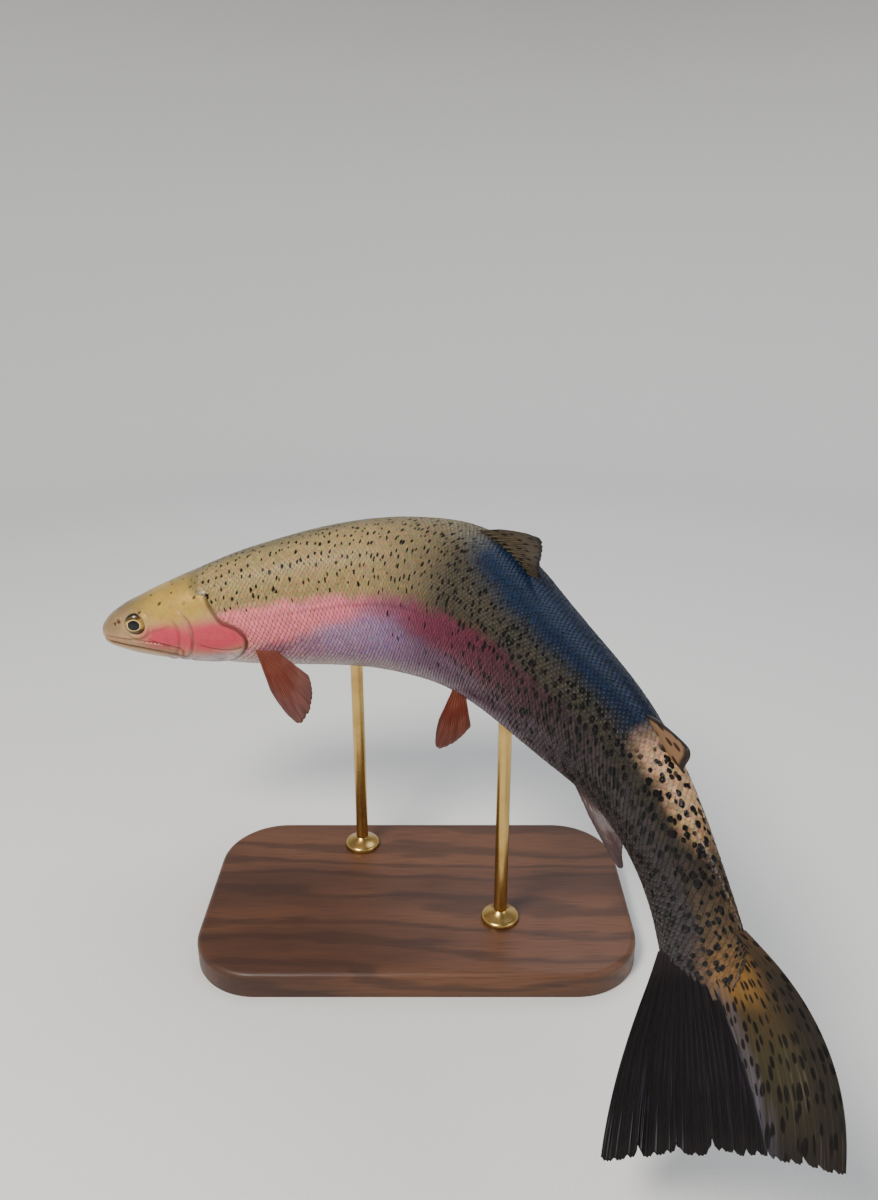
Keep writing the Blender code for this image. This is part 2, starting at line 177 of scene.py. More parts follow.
# %% Hold one finish: its material, its nodes and the ways to add to them
class Finish:
    def __init__(self, name, **constants):
        self.material = bpy.data.materials.new(name)
        self.material.use_nodes = True
        self.tree = self.material.node_tree
        self.shader = self.tree.nodes["Principled BSDF"]
        for key, value in constants.items():
            self.shader.inputs[key.replace("_", " ")].default_value = value

    def add(self, kind, settings=None, inputs=None, output=0):
        node = self.tree.nodes.new(kind)
        for key, value in (settings or {}).items():
            if key == "stops":
                elements = node.color_ramp.elements
                while len(elements) < len(value):
                    elements.new(1)
                for element, (position, colour) in zip(elements, value):
                    element.position, element.color = position, colour
            else:
                setattr(node, key, value)
        for key, value in (inputs or {}).items():
            if isinstance(value, Value):
                self.tree.links.new(value.socket, node.inputs[key])
            else:
                node.inputs[key].default_value = value
        return Value(self, node, output)

    def flat(self, name):
        """The two numbers of a UV map."""
        return self.split(self.uv(name))[:2]

    def uv(self, name):
        return self.add("ShaderNodeUVMap", {"uv_map": name})

    def mask(self, name):
        return self.add("ShaderNodeAttribute", {"attribute_name": name}, output=2)

    def place(self):
        return self.add("ShaderNodeTexCoord", output=3)

    def split(self, vector):
        parts = self.add("ShaderNodeSeparateXYZ", inputs={0: vector})
        return parts, parts.other(1), parts.other(2)

    def join(self, x, y, z=0.0):
        return self.add("ShaderNodeCombineXYZ", inputs={0: x, 1: y, 2: z})

    def scaled(self, vector, *factors):
        settings = {"operation": "MULTIPLY"}
        return self.add("ShaderNodeVectorMath", settings, {0: vector, 1: factors})

    def noise(self, vector, scale, detail):
        inputs = {"Vector": vector, "Scale": scale, "Detail": detail}
        return self.add("ShaderNodeTexNoise", inputs=inputs)

    def cells(self, vector, scale, scatter):
        inputs = {"Vector": vector, "Scale": scale, "Randomness": scatter}
        return self.add("ShaderNodeTexVoronoi", {"voronoi_dimensions": "2D"}, inputs)

    def dots(self, vector, scale, scatter, radius, chance, edge):
        """One dot in each cell. radius turns a cell's luck into its dot's size, and chance is its odds."""
        cell = self.cells(vector, scale, scatter)
        luck, size_luck, _ = self.split(cell.other("Color"))
        return (radius(size_luck) - cell).rising(*edge) * (chance - luck).rising(0.0, 0.03)

    def mix(self, factor, a, b, way="MIX"):
        settings = {"data_type": "RGBA", "blend_type": way}
        return self.add("ShaderNodeMix", settings, {0: factor, 6: a, 7: b}, output=2)

    def feed(self, **inputs):
        for key, value in inputs.items():
            self.tree.links.new(value.socket, self.shader.inputs[key.replace("_", " ")])

    def bumped(self, height, distance, strength=1.0):
        inputs = {"Height": height, "Distance": distance, "Strength": strength}
        self.feed(Normal=self.add("ShaderNodeBump", inputs=inputs))


print("tools ready")

# %% [markdown]
# ## The stage
# A museum photographer stands the model on a sheet of pale card that sweeps up behind it, so no
# horizon shows. Here the card is a shallow bowl that rises on every side, because the model is looked
# at from all round. Wide soft lamps hang over it, and a wet fish shows each of them as a glint.

# %% Roll out the card
CARD_FLAT, CARD_WIDE, CARD_RISE = 1.3, 5.0, 4.4


def ease(x, low, high):
    """0 below low and 1 above high, with a soft start and end."""
    t = np.clip((x - low) / (high - low), 0, 1)
    return t * t * (3 - 2 * t)


card_finish = Finish("pale_card", Roughness=0.85)
fleck = card_finish.noise(card_finish.place(), 900.0, 3.0)
card_finish.feed(Base_Color=fleck.ramp((0.3, tint(222, 220, 215)), (0.7, tint(232, 230, 226))))
card_finish.bumped(fleck, 0.0002, 0.3)
bm = bmesh.new()
bmesh.ops.create_grid(bm, x_segments=120, y_segments=120, size=CARD_WIDE)
for vertex in bm.verts:
    vertex.co.z = CARD_RISE * ease(vertex.co.to_2d().length, CARD_FLAT, CARD_WIDE)
piece("card", bm, card_finish.material)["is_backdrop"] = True

# %% Hang the lamps
LAMPS = (  # name, place, width, watts, colour
    ("key_lamp", (-0.7, -0.9, 1.5), 0.6, 34, (1.0, 0.97, 0.92)),
    ("fill_lamp", (1.4, -0.8, 0.9), 1.0, 7, (0.93, 0.96, 1.0)),
    ("back_lamp", (0.3, 0.9, 1.9), 1.6, 18, (0.80, 0.88, 1.0)),
)
LAMPS_AIM = (0.0, 0.0, 0.2)
ROOM_COLOUR, ROOM_STRENGTH = (0.90, 0.93, 1.0, 1), 0.30
for name, place, width, watts, colour in LAMPS:
    light = bpy.data.lights.new(name, "AREA")
    light.shape, light.size, light.energy, light.color = "DISK", width, watts, colour
    lamp = bpy.data.objects.new(name, light)
    lamp.location = place
    x, y, z = np.array(place) - LAMPS_AIM
    lamp.rotation_euler = (math.acos(z / math.hypot(x, y, z)), 0, math.atan2(y, x) + math.pi / 2)
    bpy.context.scene.collection.objects.link(lamp)
world = bpy.data.worlds.new("soft_room")
world.use_nodes = True
room = world.node_tree.nodes["Background"].inputs
room["Color"].default_value, room["Strength"].default_value = ROOM_COLOUR, ROOM_STRENGTH
bpy.context.scene.world = world
print("stage set")

# %% [markdown]
# ## The fish's build
# A trout is a bent tube: a spine that turns and rolls, and an oval section at every station along it.
# The same numbers shaped the solids, so the skin made from them fits without any measuring. Stations
# are shares of the body's length from the snout, and a turn runs from 0 at the back, through the left
# side, to one half at the belly.

# %% Give the body's sizes
BODY_LENGTH = 0.54
ANCHOR_STATION, ANCHOR = 0.45, (0.010, 0.040, 0.228)
HEAD_YAW, HEAD_PITCH, HEAD_ROLL, ROLL_PER_LENGTH = 0.0, 9.0, -1.5, -8.4
TRUNK_BEND = {"start": 0.257, "end": 0.634, "yaw": -65.0, "pitch": -15.3}
TAIL_BEND = {"start": 0.721, "end": 1.102, "yaw": -17.0, "pitch": -42.8}
SECTIONS = np.array([  # station, height over the spine, depth under it, half width
    (0.000, 0.0030, 0.0030, 0.0030), (0.004, 0.0125, 0.0105, 0.0120), (0.010, 0.0195, 0.0165, 0.0190),
    (0.030, 0.0325, 0.0280, 0.0300), (0.060, 0.0435, 0.0400, 0.0395), (0.100, 0.0560, 0.0520, 0.0475),
    (0.150, 0.0690, 0.0630, 0.0535), (0.200, 0.0805, 0.0725, 0.0575), (0.250, 0.0885, 0.0810, 0.0610),
    (0.350, 0.1000, 0.0942, 0.0670), (0.430, 0.1060, 0.1005, 0.0689), (0.500, 0.1095, 0.0995, 0.0677),
    (0.560, 0.1035, 0.0960, 0.0640), (0.650, 0.0870, 0.0845, 0.0563), (0.750, 0.0725, 0.0725, 0.0460),
    (0.820, 0.0647, 0.0626, 0.0361), (0.880, 0.0587, 0.0565, 0.0281), (0.930, 0.0575, 0.0550, 0.0215),
    (0.970, 0.0610, 0.0585, 0.0150), (1.000, 0.0665, 0.0640, 0.0095), (1.030, 0.0720, 0.0690, 0.0045),
])
OVAL = 2 / 2.15  # 1 is an ellipse, and less is squarer
HEAD_TAPER, TRUNK_TAPER = 0.16, 0.05  # how much fuller the sections are above than below
HEAD_BACK = 0.222
print("sections:", len(SECTIONS))


# %% Bend the spine
def axes_at(s):
    """The spine's own axes at station s: tailward, to the back and to the fish's left."""
    trunk, tail = (ease(s, bend["start"], bend["end"]) for bend in (TRUNK_BEND, TAIL_BEND))
    yaw = np.radians(HEAD_YAW + TRUNK_BEND["yaw"] * trunk + TAIL_BEND["yaw"] * tail)
    pitch = np.radians(HEAD_PITCH + TRUNK_BEND["pitch"] * trunk + TAIL_BEND["pitch"] * tail)
    roll = np.radians(HEAD_ROLL + ROLL_PER_LENGTH * s)[..., None]
    level = np.cos(pitch)
    tailward = np.stack([np.cos(yaw) * level, np.sin(yaw) * level, np.sin(pitch)], -1)
    up = np.array([0.0, 0.0, 1.0]) - tailward * tailward[..., 2:3]
    up /= np.linalg.norm(up, axis=-1, keepdims=True)
    left = np.cross(tailward, up)
    return tailward, np.cos(roll) * up + np.sin(roll) * left, np.cos(roll) * left - np.sin(roll) * up


SPINE_S = np.linspace(0, 1.2, 1201)
SPINE_AT = np.cumsum(axes_at(SPINE_S)[0], axis=0) * (SPINE_S[1] * BODY_LENGTH)
SPINE_AT += np.array(ANCHOR) - SPINE_AT[round(ANCHOR_STATION / SPINE_S[1])]


def spine_at(s):
    return np.stack([np.interp(s, SPINE_S, SPINE_AT[:, k]) for k in range(3)], -1)


def size_at(s, column):
    """A column of SECTIONS at s, in metres, through cubics that share a slope where they meet."""
    x, y = SECTIONS[:, 0], SECTIONS[:, column]
    slope = np.gradient(y, x)
    i = np.clip(np.searchsorted(x, s, side="right") - 1, 0, len(x) - 2)
    step = x[i + 1] - x[i]
    t = np.clip((s - x[i]) / step, 0, 1)
    rise = y[i] * (1 + 2 * t) * (1 - t) ** 2 + y[i + 1] * t * t * (3 - 2 * t)
    return (rise + step * t * (1 - t) * ((1 - t) * slope[i] - t * slope[i + 1])) * BODY_LENGTH


print("the snout is at", np.round(spine_at(0.0), 3))


# %% Draw the body's surface
def squared_off(wave):
    """A sine or cosine, bent so that the oval it draws is a little squarer than an ellipse."""
    return np.sign(wave) * np.abs(wave) ** OVAL


def rise_at(turn):
    """1 at the back, 0 at the side and -1 at the belly."""
    return squared_off(np.cos(2 * np.pi * turn))


def side_at(turn):
    """0 at the back and belly, 1 at the left side and -1 at the right."""
    return squared_off(np.sin(2 * np.pi * turn))


def height_at(s, turn):
    """How far over the spine the body's side is, in metres."""
    rise = rise_at(turn)
    return np.where(rise > 0, size_at(s, 1), size_at(s, 2)) * rise


def body_point(s, turn, grow=0.0):
    """The body's surface, moved out by grow."""
    s, turn = np.broadcast_arrays(np.asarray(s, float), np.asarray(turn, float))
    rise = rise_at(turn)
    taper = HEAD_TAPER + (TRUNK_TAPER - HEAD_TAPER) * np.clip(s / HEAD_BACK - 0.5, 0, 1)
    _, up, left = axes_at(s)
    height = (np.where(rise > 0, size_at(s, 1), size_at(s, 2)) + grow) * rise
    breadth = (size_at(s, 3) + grow) * side_at(turn) * (1 + taper * rise)
    return spine_at(s) + up * height[..., None] + left * breadth[..., None]


BODY_END = 1.03  # the last station of the body's own surface
GIRTH_S = np.linspace(0, BODY_END, 207)
hoops = body_point(GIRTH_S[:, None], np.linspace(0, 1, 121)[None, :])
GIRTHS = np.linalg.norm(np.diff(hoops, axis=1), axis=-1).sum(1)


def girth_at(s):
    return np.interp(s, GIRTH_S, GIRTHS)


print("girth at the dorsal fin: %.0f mm" % (1000 * girth_at(0.5)))

# %% [markdown]
# ## Carving the head
# A trout's head is bone close under thin skin, so each plate shows: the jaws, the cheek, and the
# gill cover with its free edge. They could be separate meshes, but a real head is one skin, so they
# are drawn as lines on the head's side view and pressed into it or raised from it. Distances to each
# line give the carving its profile, as a chisel's width would.

# %% Draw smooth lines and measure from them
def drawn(points, steps=6):
    """A smooth line through a few points."""
    points = np.array(points, float)
    ghost = np.vstack([2 * points[0] - points[1], points, 2 * points[-1] - points[-2]])
    t = (np.arange(steps) / steps)[:, None]
    spans = []
    for a, b, c, d in zip(ghost, ghost[1:], ghost[2:], ghost[3:]):
        sway, twist = 2 * a - 5 * b + 4 * c - d, 3 * b - a - 3 * c + d
        spans.append(b + ((c - a) * t + sway * t**2 + twist * t**3) / 2)
    return np.vstack([*spans, points[-1:]])


def from_line(x, y, points):
    """Signed distance to a line, positive on its left as it is drawn, and the share of it passed."""
    line = drawn(points)
    runs = np.concatenate([[0], np.cumsum(np.linalg.norm(np.diff(line, axis=0), axis=1))])
    best, side, along = np.full(x.shape, 9.0), np.ones(x.shape), np.zeros(x.shape)
    for a, b, before, after in zip(line, line[1:], runs, runs[1:]):
        way = b - a
        t = np.clip(((x - a[0]) * way[0] + (y - a[1]) * way[1]) / (way @ way), 0, 1)
        dx, dy = x - a[0] - t * way[0], y - a[1] - t * way[1]
        far = np.hypot(dx, dy)
        near = far < best
        best = np.where(near, far, best)
        side = np.where(near, np.where(way[0] * dy - way[1] * dx >= 0, 1.0, -1.0), side)
        along = np.where(near, (before + t * (after - before)) / runs[-1], along)
    return best * side, along


def hump(distance, width):
    """1 at no distance, falling away evenly on both sides."""
    return np.exp(-((distance / width) ** 2))


# %% Lay out the head, in metres behind the snout and over the spine
EYE_AT, EYE_RADIUS, EYE_DEPTH, EYE_SUNK = (0.0320, 0.0085), 0.0078, 0.0042, 0.0027
MOUTH = ((-0.006, 0.0002), (0.008, -0.0032), (0.028, -0.0085), (0.048, -0.0150), (0.0600, -0.0205))
UPPER_JAW = ((0.0070, -0.0006), (0.0200, -0.0036), (0.0360, -0.0076), (0.0500, -0.0128), (0.0570, -0.0168))
JAW_CREASE = ((0.0030, -0.0085), (0.0160, -0.0155), (0.0340, -0.0215), (0.0500, -0.0262), (0.0620, -0.0290))
JAW_SEAM = ((0.0440, -0.0170), (0.0500, -0.0225), (0.0590, -0.0262))
CHEEK_EDGE = ((0.0665, 0.0150), (0.0712, 0.0080), (0.0722, 0.0000), (0.0700, -0.0110), (0.0645, -0.0195),
              (0.0560, -0.0245), (0.0470, -0.0258))
CHEEK_RIDGE = ((0.0590, 0.0125), (0.0628, 0.0030), (0.0612, -0.0080), (0.0565, -0.0160), (0.0480, -0.0208))
COVER_SEAM = ((0.0738, -0.0120), (0.0840, -0.0172), (0.0960, -0.0196), (0.1060, -0.0180))
UNDER_COVER = ((0.0715, -0.0215), (0.0640, -0.0262), (0.0540, -0.0292), (0.0430, -0.0300))
UNDER_EYE = ((0.0230, 0.0010), (0.0290, -0.0022), (0.0360, -0.0022), (0.0425, 0.0020), (0.0510, 0.0035),
             (0.0600, 0.0060))
LOW_CHEEK = ((0.0385, -0.0020), (0.0450, -0.0075), (0.0540, -0.0120))
NOSTRILS = ((0.0160, 0.0098, 0.0009), (0.0192, 0.0112, 0.0012))
# The gill opening is a line of station metres and turns, because it runs on under the throat
OPENING = ((0.0790, 0.116), (0.0848, 0.141), (0.0891, 0.191), (0.0934, 0.233), (0.0988, 0.2475),
           (0.1042, 0.2626), (0.1080, 0.295), (0.1055, 0.334), (0.0980, 0.381), (0.0860, 0.431),
           (0.0740, 0.462), (0.0620, 0.482), (0.0480, 0.500))
HEAD_GIRTH = 0.21  # a whole turn round the head, in metres
# Creases pressed into the head: how deep they are, where they run and how wide they are
CREASES = (
    (0.0007, JAW_CREASE, 0.0010), (0.0005, JAW_SEAM, 0.0007), (0.0010, CHEEK_EDGE, 0.0009),
    (0.0005, CHEEK_RIDGE, 0.0012), (0.0009, COVER_SEAM, 0.0007), (0.0007, UNDER_COVER, 0.0008),
    (0.0005, UNDER_EYE, 0.0008), (0.0005, LOW_CHEEK, 0.0009),
)
DEEPEST_CREASE, CREASE_FADE = 0.0012, 0.12
print("creases:", len(CREASES), "nostrils on a side:", len(NOSTRILS))


def behind_opening(s, turn):
    """Metres behind the gill cover's free edge, less than 0 on the cover, and the share of it passed."""
    folded = np.minimum(turn, 1 - turn)
    line = [(x, -t * HEAD_GIRTH) for x, t in OPENING]
    return from_line(s * BODY_LENGTH, -folded * HEAD_GIRTH, line)


def to_nape(x, h):
    """Metres behind the snout, along lines that lean as the nape's edge does."""
    return x + 0.25 * (h - 0.028)


# %% Carve the head
def relief(s, turn):
    """How far the skin is raised, or pressed in below 0, in metres, and how much painted shade each hollow
    gets.
    """
    s, turn = np.broadcast_arrays(np.asarray(s, float), np.asarray(turn, float))
    x, h = s * BODY_LENGTH, height_at(s, turn)
    folded = np.minimum(turn, 1 - turn)
    # the mouth, with a lip over it and under it
    d, t = from_line(x, h, MOUTH)
    inside = (t < 1) * ease(x, 0.0, 0.0015)
    deep = -0.0022 * hump(d + 0.0002, 0.00075) * inside
    deep += (0.0007 * hump(d + 0.0026, 0.0015) + 0.0003 * hump(d - 0.0016, 0.0010)) * inside
    shade = hump(d + 0.0002, 0.0009) * inside
    # the upper jaw's plate, which widens backwards
    d, t = from_line(x, h, UPPER_JAW)
    half = 0.0011 + 0.0022 * t
    plate = 1 - ease(np.abs(d), half - 0.0005, half + 0.0002)
    rim = hump(np.abs(d) - half - 0.0003, 0.0006) * (d > 0)
    deep += 0.0008 * plate - 0.0011 * rim
    shade += 0.5 * rim * ease(t, 0.1, 0.3)
    for depth, line, width in CREASES:
        d, t = from_line(x, h, line)
        mark = hump(d, width) * ease(t, 0, CREASE_FADE) * (1 - ease(t, 1 - CREASE_FADE, 1))
        deep -= depth * mark
        shade += mark * depth / DEEPEST_CREASE
    d, t = from_line(x, h, CHEEK_EDGE)
    deep += 0.0004 * hump(d + 0.0022, 0.0016) * ((t > 0) & (t < 1))
    for nx, nh, wide in NOSTRILS:
        far = np.hypot(x - nx, h - nh)
        deep += 0.0005 * hump(far - 1.7 * wide, 0.0008) - 0.0022 * hump(far, wide)
        shade += 1.2 * hump(far, wide)
    # the eye's socket, its lid and the fold round it
    far = np.hypot(x - EYE_AT[0], h - EYE_AT[1])
    deep -= 0.0034 * (1 - ease(far, EYE_RADIUS - 0.0013, EYE_RADIUS - 0.0004))
    deep += 0.0006 * hump(far - 0.0088, 0.0013) - 0.0005 * hump(far - 0.0112, 0.0012)
    shade += 1 - ease(far, EYE_RADIUS - 0.0012, EYE_RADIUS - 0.0002)
    # the step behind the gill cover's free edge
    d, t = behind_opening(s, turn)
    open_here = ease(t, 0.01, 0.12) * (1 - 0.6 * ease(t, 0.80, 1.0))
    behind = ease(d, -0.0002, 0.0006) * np.exp(-np.clip(d, 0, None) / 0.0045)
    deep -= 0.0024 * behind * open_here
    deep -= 0.0003 * hump(d + 0.0010, 0.0014) * open_here
    shade += hump(d - 0.0003, 0.0007) * open_here
    # the rays that hold the throat's skin, side by side under the cover
    rays = ease(folded, 0.405, 0.43) * (1 - ease(folded, 0.485, 0.497)) * ease(x, 0.040, 0.052)
    rays = rays * ease(-d, 0.0005, 0.002)
    ribs = np.cos(2 * np.pi * np.clip(-d, 0, None) / 0.0036)
    deep += 0.00035 * ribs * rays
    shade += 0.25 * (1 - ribs) * rays
    # the groove along the middle of the chin
    chin = hump((0.5 - folded) * girth_at(s), 0.0011) * (1 - ease(x, 0.036, 0.050)) * ease(x, 0.004, 0.012)
    deep -= 0.0006 * chin
    shade += 0.5 * chin
    return deep, np.clip(shade, 0, 1)


socket, _ = relief(EYE_AT[0] / BODY_LENGTH, 0.2)
print("the eye's socket is pressed in by %.1f mm" % (-1000 * socket))

# %% [markdown]
# ## The skin
# The skin is one sheet of squares rolled into a tube and closed at both ends. Rows crowd towards the
# head, where the carving is, and run wider under the scales. It lies 0.4 mm inside the solids, which
# leaves room for the scales, and ends in a thin lobe over the roots of the tail's rays, as the flesh
# does. The seam lies under the belly, where no marking crosses it. Two maps go with it: "Lay", metres
# along and round from the back, and "Side", height over the spine and a turn that is the same on both
# sides, 0 at the back and one half at the belly.

# %% Roll a sheet into a tube
def rolled(rows, columns, place):
    """place(u, v) gives points for shares along and round the tube."""
    bm = bmesh.new()
    bmesh.ops.create_grid(bm, x_segments=rows, y_segments=columns, size=0.5)
    half = columns // 2
    for end in (-0.5, 0.5):
        ring = sorted((v for v in bm.verts if abs(v.co.x - end) < 1e-6), key=lambda v: v.co.y)
        for k in range(half - 1):
            bm.faces.new((ring[k], ring[k + 1], ring[-k - 2], ring[-k - 1]))
        bm.faces.new(ring[half - 1 : half + 2])
    # rounded, so that both sides of the seam get the same share and close
    shares = np.round(np.array([v.co[:2] for v in bm.verts]) + 0.5, 6)
    for vertex, point in zip(bm.verts, place(shares[:, 0], shares[:, 1])):
        vertex.co = point
    return bm, shares


def mapped(bm, maps, masks=None):
    """Adds UV maps and masks, each given as a value for every vertex, and then closes the tube's seam."""
    bm.verts.index_update()
    for name, values in maps.items():
        layer = bm.loops.layers.uv.new(name)
        for face in bm.faces:
            for loop in face.loops:
                loop[layer].uv = values[loop.vert.index]
    for name, values in (masks or {}).items():
        layer = bm.verts.layers.float.new(name)
        for vertex, value in zip(bm.verts, values):
            vertex[layer] = value
    bmesh.ops.remove_doubles(bm, verts=bm.verts, dist=1e-6)


# %% Place the skin and the flesh's last lobe
SCALE_DEPTH = 0.0004
FLESH_END, LOBE_REACH, LOBE_HALF = 1.022, 0.040, 0.0011
HEAD_RINGS, TRUNK_RINGS, LOBE_RINGS, SKIN_COLUMNS = 216, 147, 16, 256
CARVED_TO = HEAD_BACK * 1.08
MAP_LENGTH = 1.08  # stations on the unwrap run from 0 to this
SKIN_S = np.concatenate([
    CARVED_TO * np.linspace(0, 1, HEAD_RINGS) ** 1.2,
    np.linspace(CARVED_TO, FLESH_END, TRUNK_RINGS)[1:],
    FLESH_END + LOBE_REACH * np.linspace(0, 1, LOBE_RINGS)[1:],
])
SKIN_ROWS = len(SKIN_S) - 1


def flesh_point(s, turn, grow):
    """The body out to the flesh's last lobe, which thins over the tail's rays and is longest midway."""
    past = np.clip((s - FLESH_END) / LOBE_REACH, 0, 1)
    reach = 1 - 0.85 * np.abs(rise_at(turn)) ** 2.6
    base = body_point(np.minimum(s, FLESH_END), turn, grow)
    tailward, _, left = axes_at(np.array(FLESH_END))
    lost = (size_at(FLESH_END, 3) + grow - LOBE_HALF) * side_at(turn) * ease(past, 0, 1)
    run = BODY_LENGTH * LOBE_REACH * past * reach
    return base + tailward * run[..., None] - left * lost[..., None]


def lay(s, turn):
    """The maps that markings follow. turn runs from -0.5 to 0.5, with 0 at the back."""
    on_body = np.minimum(s, BODY_END)
    plan = np.stack([s * BODY_LENGTH, turn * girth_at(on_body)], -1)
    return plan, np.stack([height_at(on_body, turn % 1), np.abs(turn)], -1)


def skin_place(u, v):
    s = np.interp(u * SKIN_ROWS, np.arange(len(SKIN_S)), SKIN_S)
    turn = (v - 0.5) % 1
    carved, _ = relief(s, turn)
    return flesh_point(s, turn, carved * (s < 0.3) - SCALE_DEPTH)


skin_bm, shares = rolled(SKIN_ROWS, SKIN_COLUMNS, skin_place)
skin_s = np.interp(shares[:, 0] * SKIN_ROWS, np.arange(len(SKIN_S)), SKIN_S)
skin_turn = (shares[:, 1] - 0.5) % 1
skin_lay, skin_side = lay(skin_s, shares[:, 1] - 0.5)
print("skin points:", len(skin_bm.verts))

# %% [markdown]
# ## Masks for the head's paint
# The cheek and gill cover are rose red, the plate behind the eye is bronze, the jaws and throat are
# pale, a dark line edges the gill cover, and painted shade darkens the head's hollows. Each is a soft
# patch on the head's side view, kept with the skin as a number from 0 to 1, so the paint can use it
# without any picture.

# %% Work out the masks
x, h = skin_s * BODY_LENGTH, height_at(skin_s, skin_turn)
past_opening, opening_share = behind_opening(skin_s, skin_turn)
on_head = 1 - ease(past_opening, -0.0002, 0.0014)
nape = 1 - ease(to_nape(x, h), 0.072, 0.086)
on_head = np.where(h > 0.024, nape, on_head)
throat = ease(np.minimum(skin_turn, 1 - skin_turn), 0.40, 0.44) * (1 - ease(x, 0.080, 0.090))
on_head = np.maximum(on_head, throat)


def patch(at, radii, soft=0.5):
    """A soft oval patch: 1 inside and 0 outside."""
    far = np.hypot((x - at[0]) / radii[0], (h - at[1]) / radii[1])
    return 1 - ease(far, 1 - soft, 1 + soft)


# painted shade for the mouth, creases, nostrils, eye socket and the step behind the gill cover
_, hollow = relief(skin_s, skin_turn)
jaw_off, jaw_share = from_line(x, h, UPPER_JAW)
jaw_edge = 0.0012 + 0.0020 * jaw_share
cover_blush, cheek_blush = patch((0.085, -0.007), (0.034, 0.0125)), patch((0.053, -0.003), (0.018, 0.0095))
skin_masks = {
    "head": on_head,
    "hollow": hollow * (x < 0.14),
    "blush": np.maximum(cover_blush, cheek_blush) * on_head,
    "bronze": patch((0.064, 0.019), (0.028, 0.013)) * on_head,
    "jaw": (1 - ease(np.abs(jaw_off), jaw_edge, jaw_edge + 0.0010)) * (jaw_share < 1),
    "pale": ease(-h, 0.016, 0.026) * on_head,
    "edge": hump(past_opening + 0.0008, 0.0009) * ease(opening_share, 0.02, 0.15),
    "ridge": hump(from_line(x, h, CHEEK_EDGE)[0] + 0.0006, 0.0006) * on_head * (x > 0.060),
    "lip": hump(from_line(x, h, MOUTH)[0] + 0.0012, 0.0016) * (x < 0.062),
}
maps = {"OFBake": np.stack([skin_s / MAP_LENGTH, shares[:, 1]], -1), "Lay": skin_lay, "Side": skin_side}
mapped(skin_bm, maps, skin_masks)
print("masks:", ", ".join(skin_masks))

# %% [markdown]
# ## The trout's markings
# Skin and scales carry one set of markings, so they are painted by one function. From back to belly:
# olive tan, a rose band along the side, lilac silver, and white. The stations shift those colours, from
# warm tan behind the head to dark olive on the tail stalk; from mid-body back that darkening is partly
# the fish's own and partly painted shade. Between the dorsal fin and the adipose fin the ridge of the
# back is a painted slate-blue sky reflection in that painted shade, and behind the adipose fin it is
# tan lit by a painted pool of sunlight. Black spots come from scattered cells: each cell holds one
# spot, whose size and chance depend on where it is.

# %% Scatter the body's spots
BLACK_SPOT = tint(13, 11, 11)
SPOT_NETS = (  # cells in a metre, then size and chance, each at the front and at the rear
    (205.0, 0.160, 0.315, 0.90, 0.84),
    (150.0, 0.105, 0.215, 0.50, 0.55),
)


def body_spots(f, s, t, along, around, fine):
    """Two nets of spots, one fine and one coarse, which grow and thicken towards the tail."""
    rear = s.rising(0.38, 0.80)
    shake_x, shake_y, _ = f.split(fine.other("Color"))
    tall = rear * 0.34 + 0.54
    spread = f.join(along + (shake_x - 0.5) * 0.0020, around * tall + (shake_y - 0.5) * 0.0016)
    high = t.rising(0.235, 0.180)
    low = s.rising(0.36, 0.60) * t.rising(0.44, 0.30)
    tail = s.rising(0.64, 0.86) * t.rising(0.50, 0.42)
    nets = []
    for scale, front_size, rear_size, front_chance, rear_chance in SPOT_NETS:
        chance = high * (rear * (rear_chance - front_chance) + front_chance)
        chance = chance + (1 - high) * (low * 0.30 + tail * 0.40)
        size = rear * (rear_size - front_size) + front_size
        nets.append(f.dots(spread, scale, 0.75, lambda luck: size * (luck * 0.6 + 0.68), chance,
                           (-0.030, 0.022)))
    return nets[0].maths("MAXIMUM", nets[1])


print("millimetres between spots:", [round(1000 / net[0], 1) for net in SPOT_NETS])


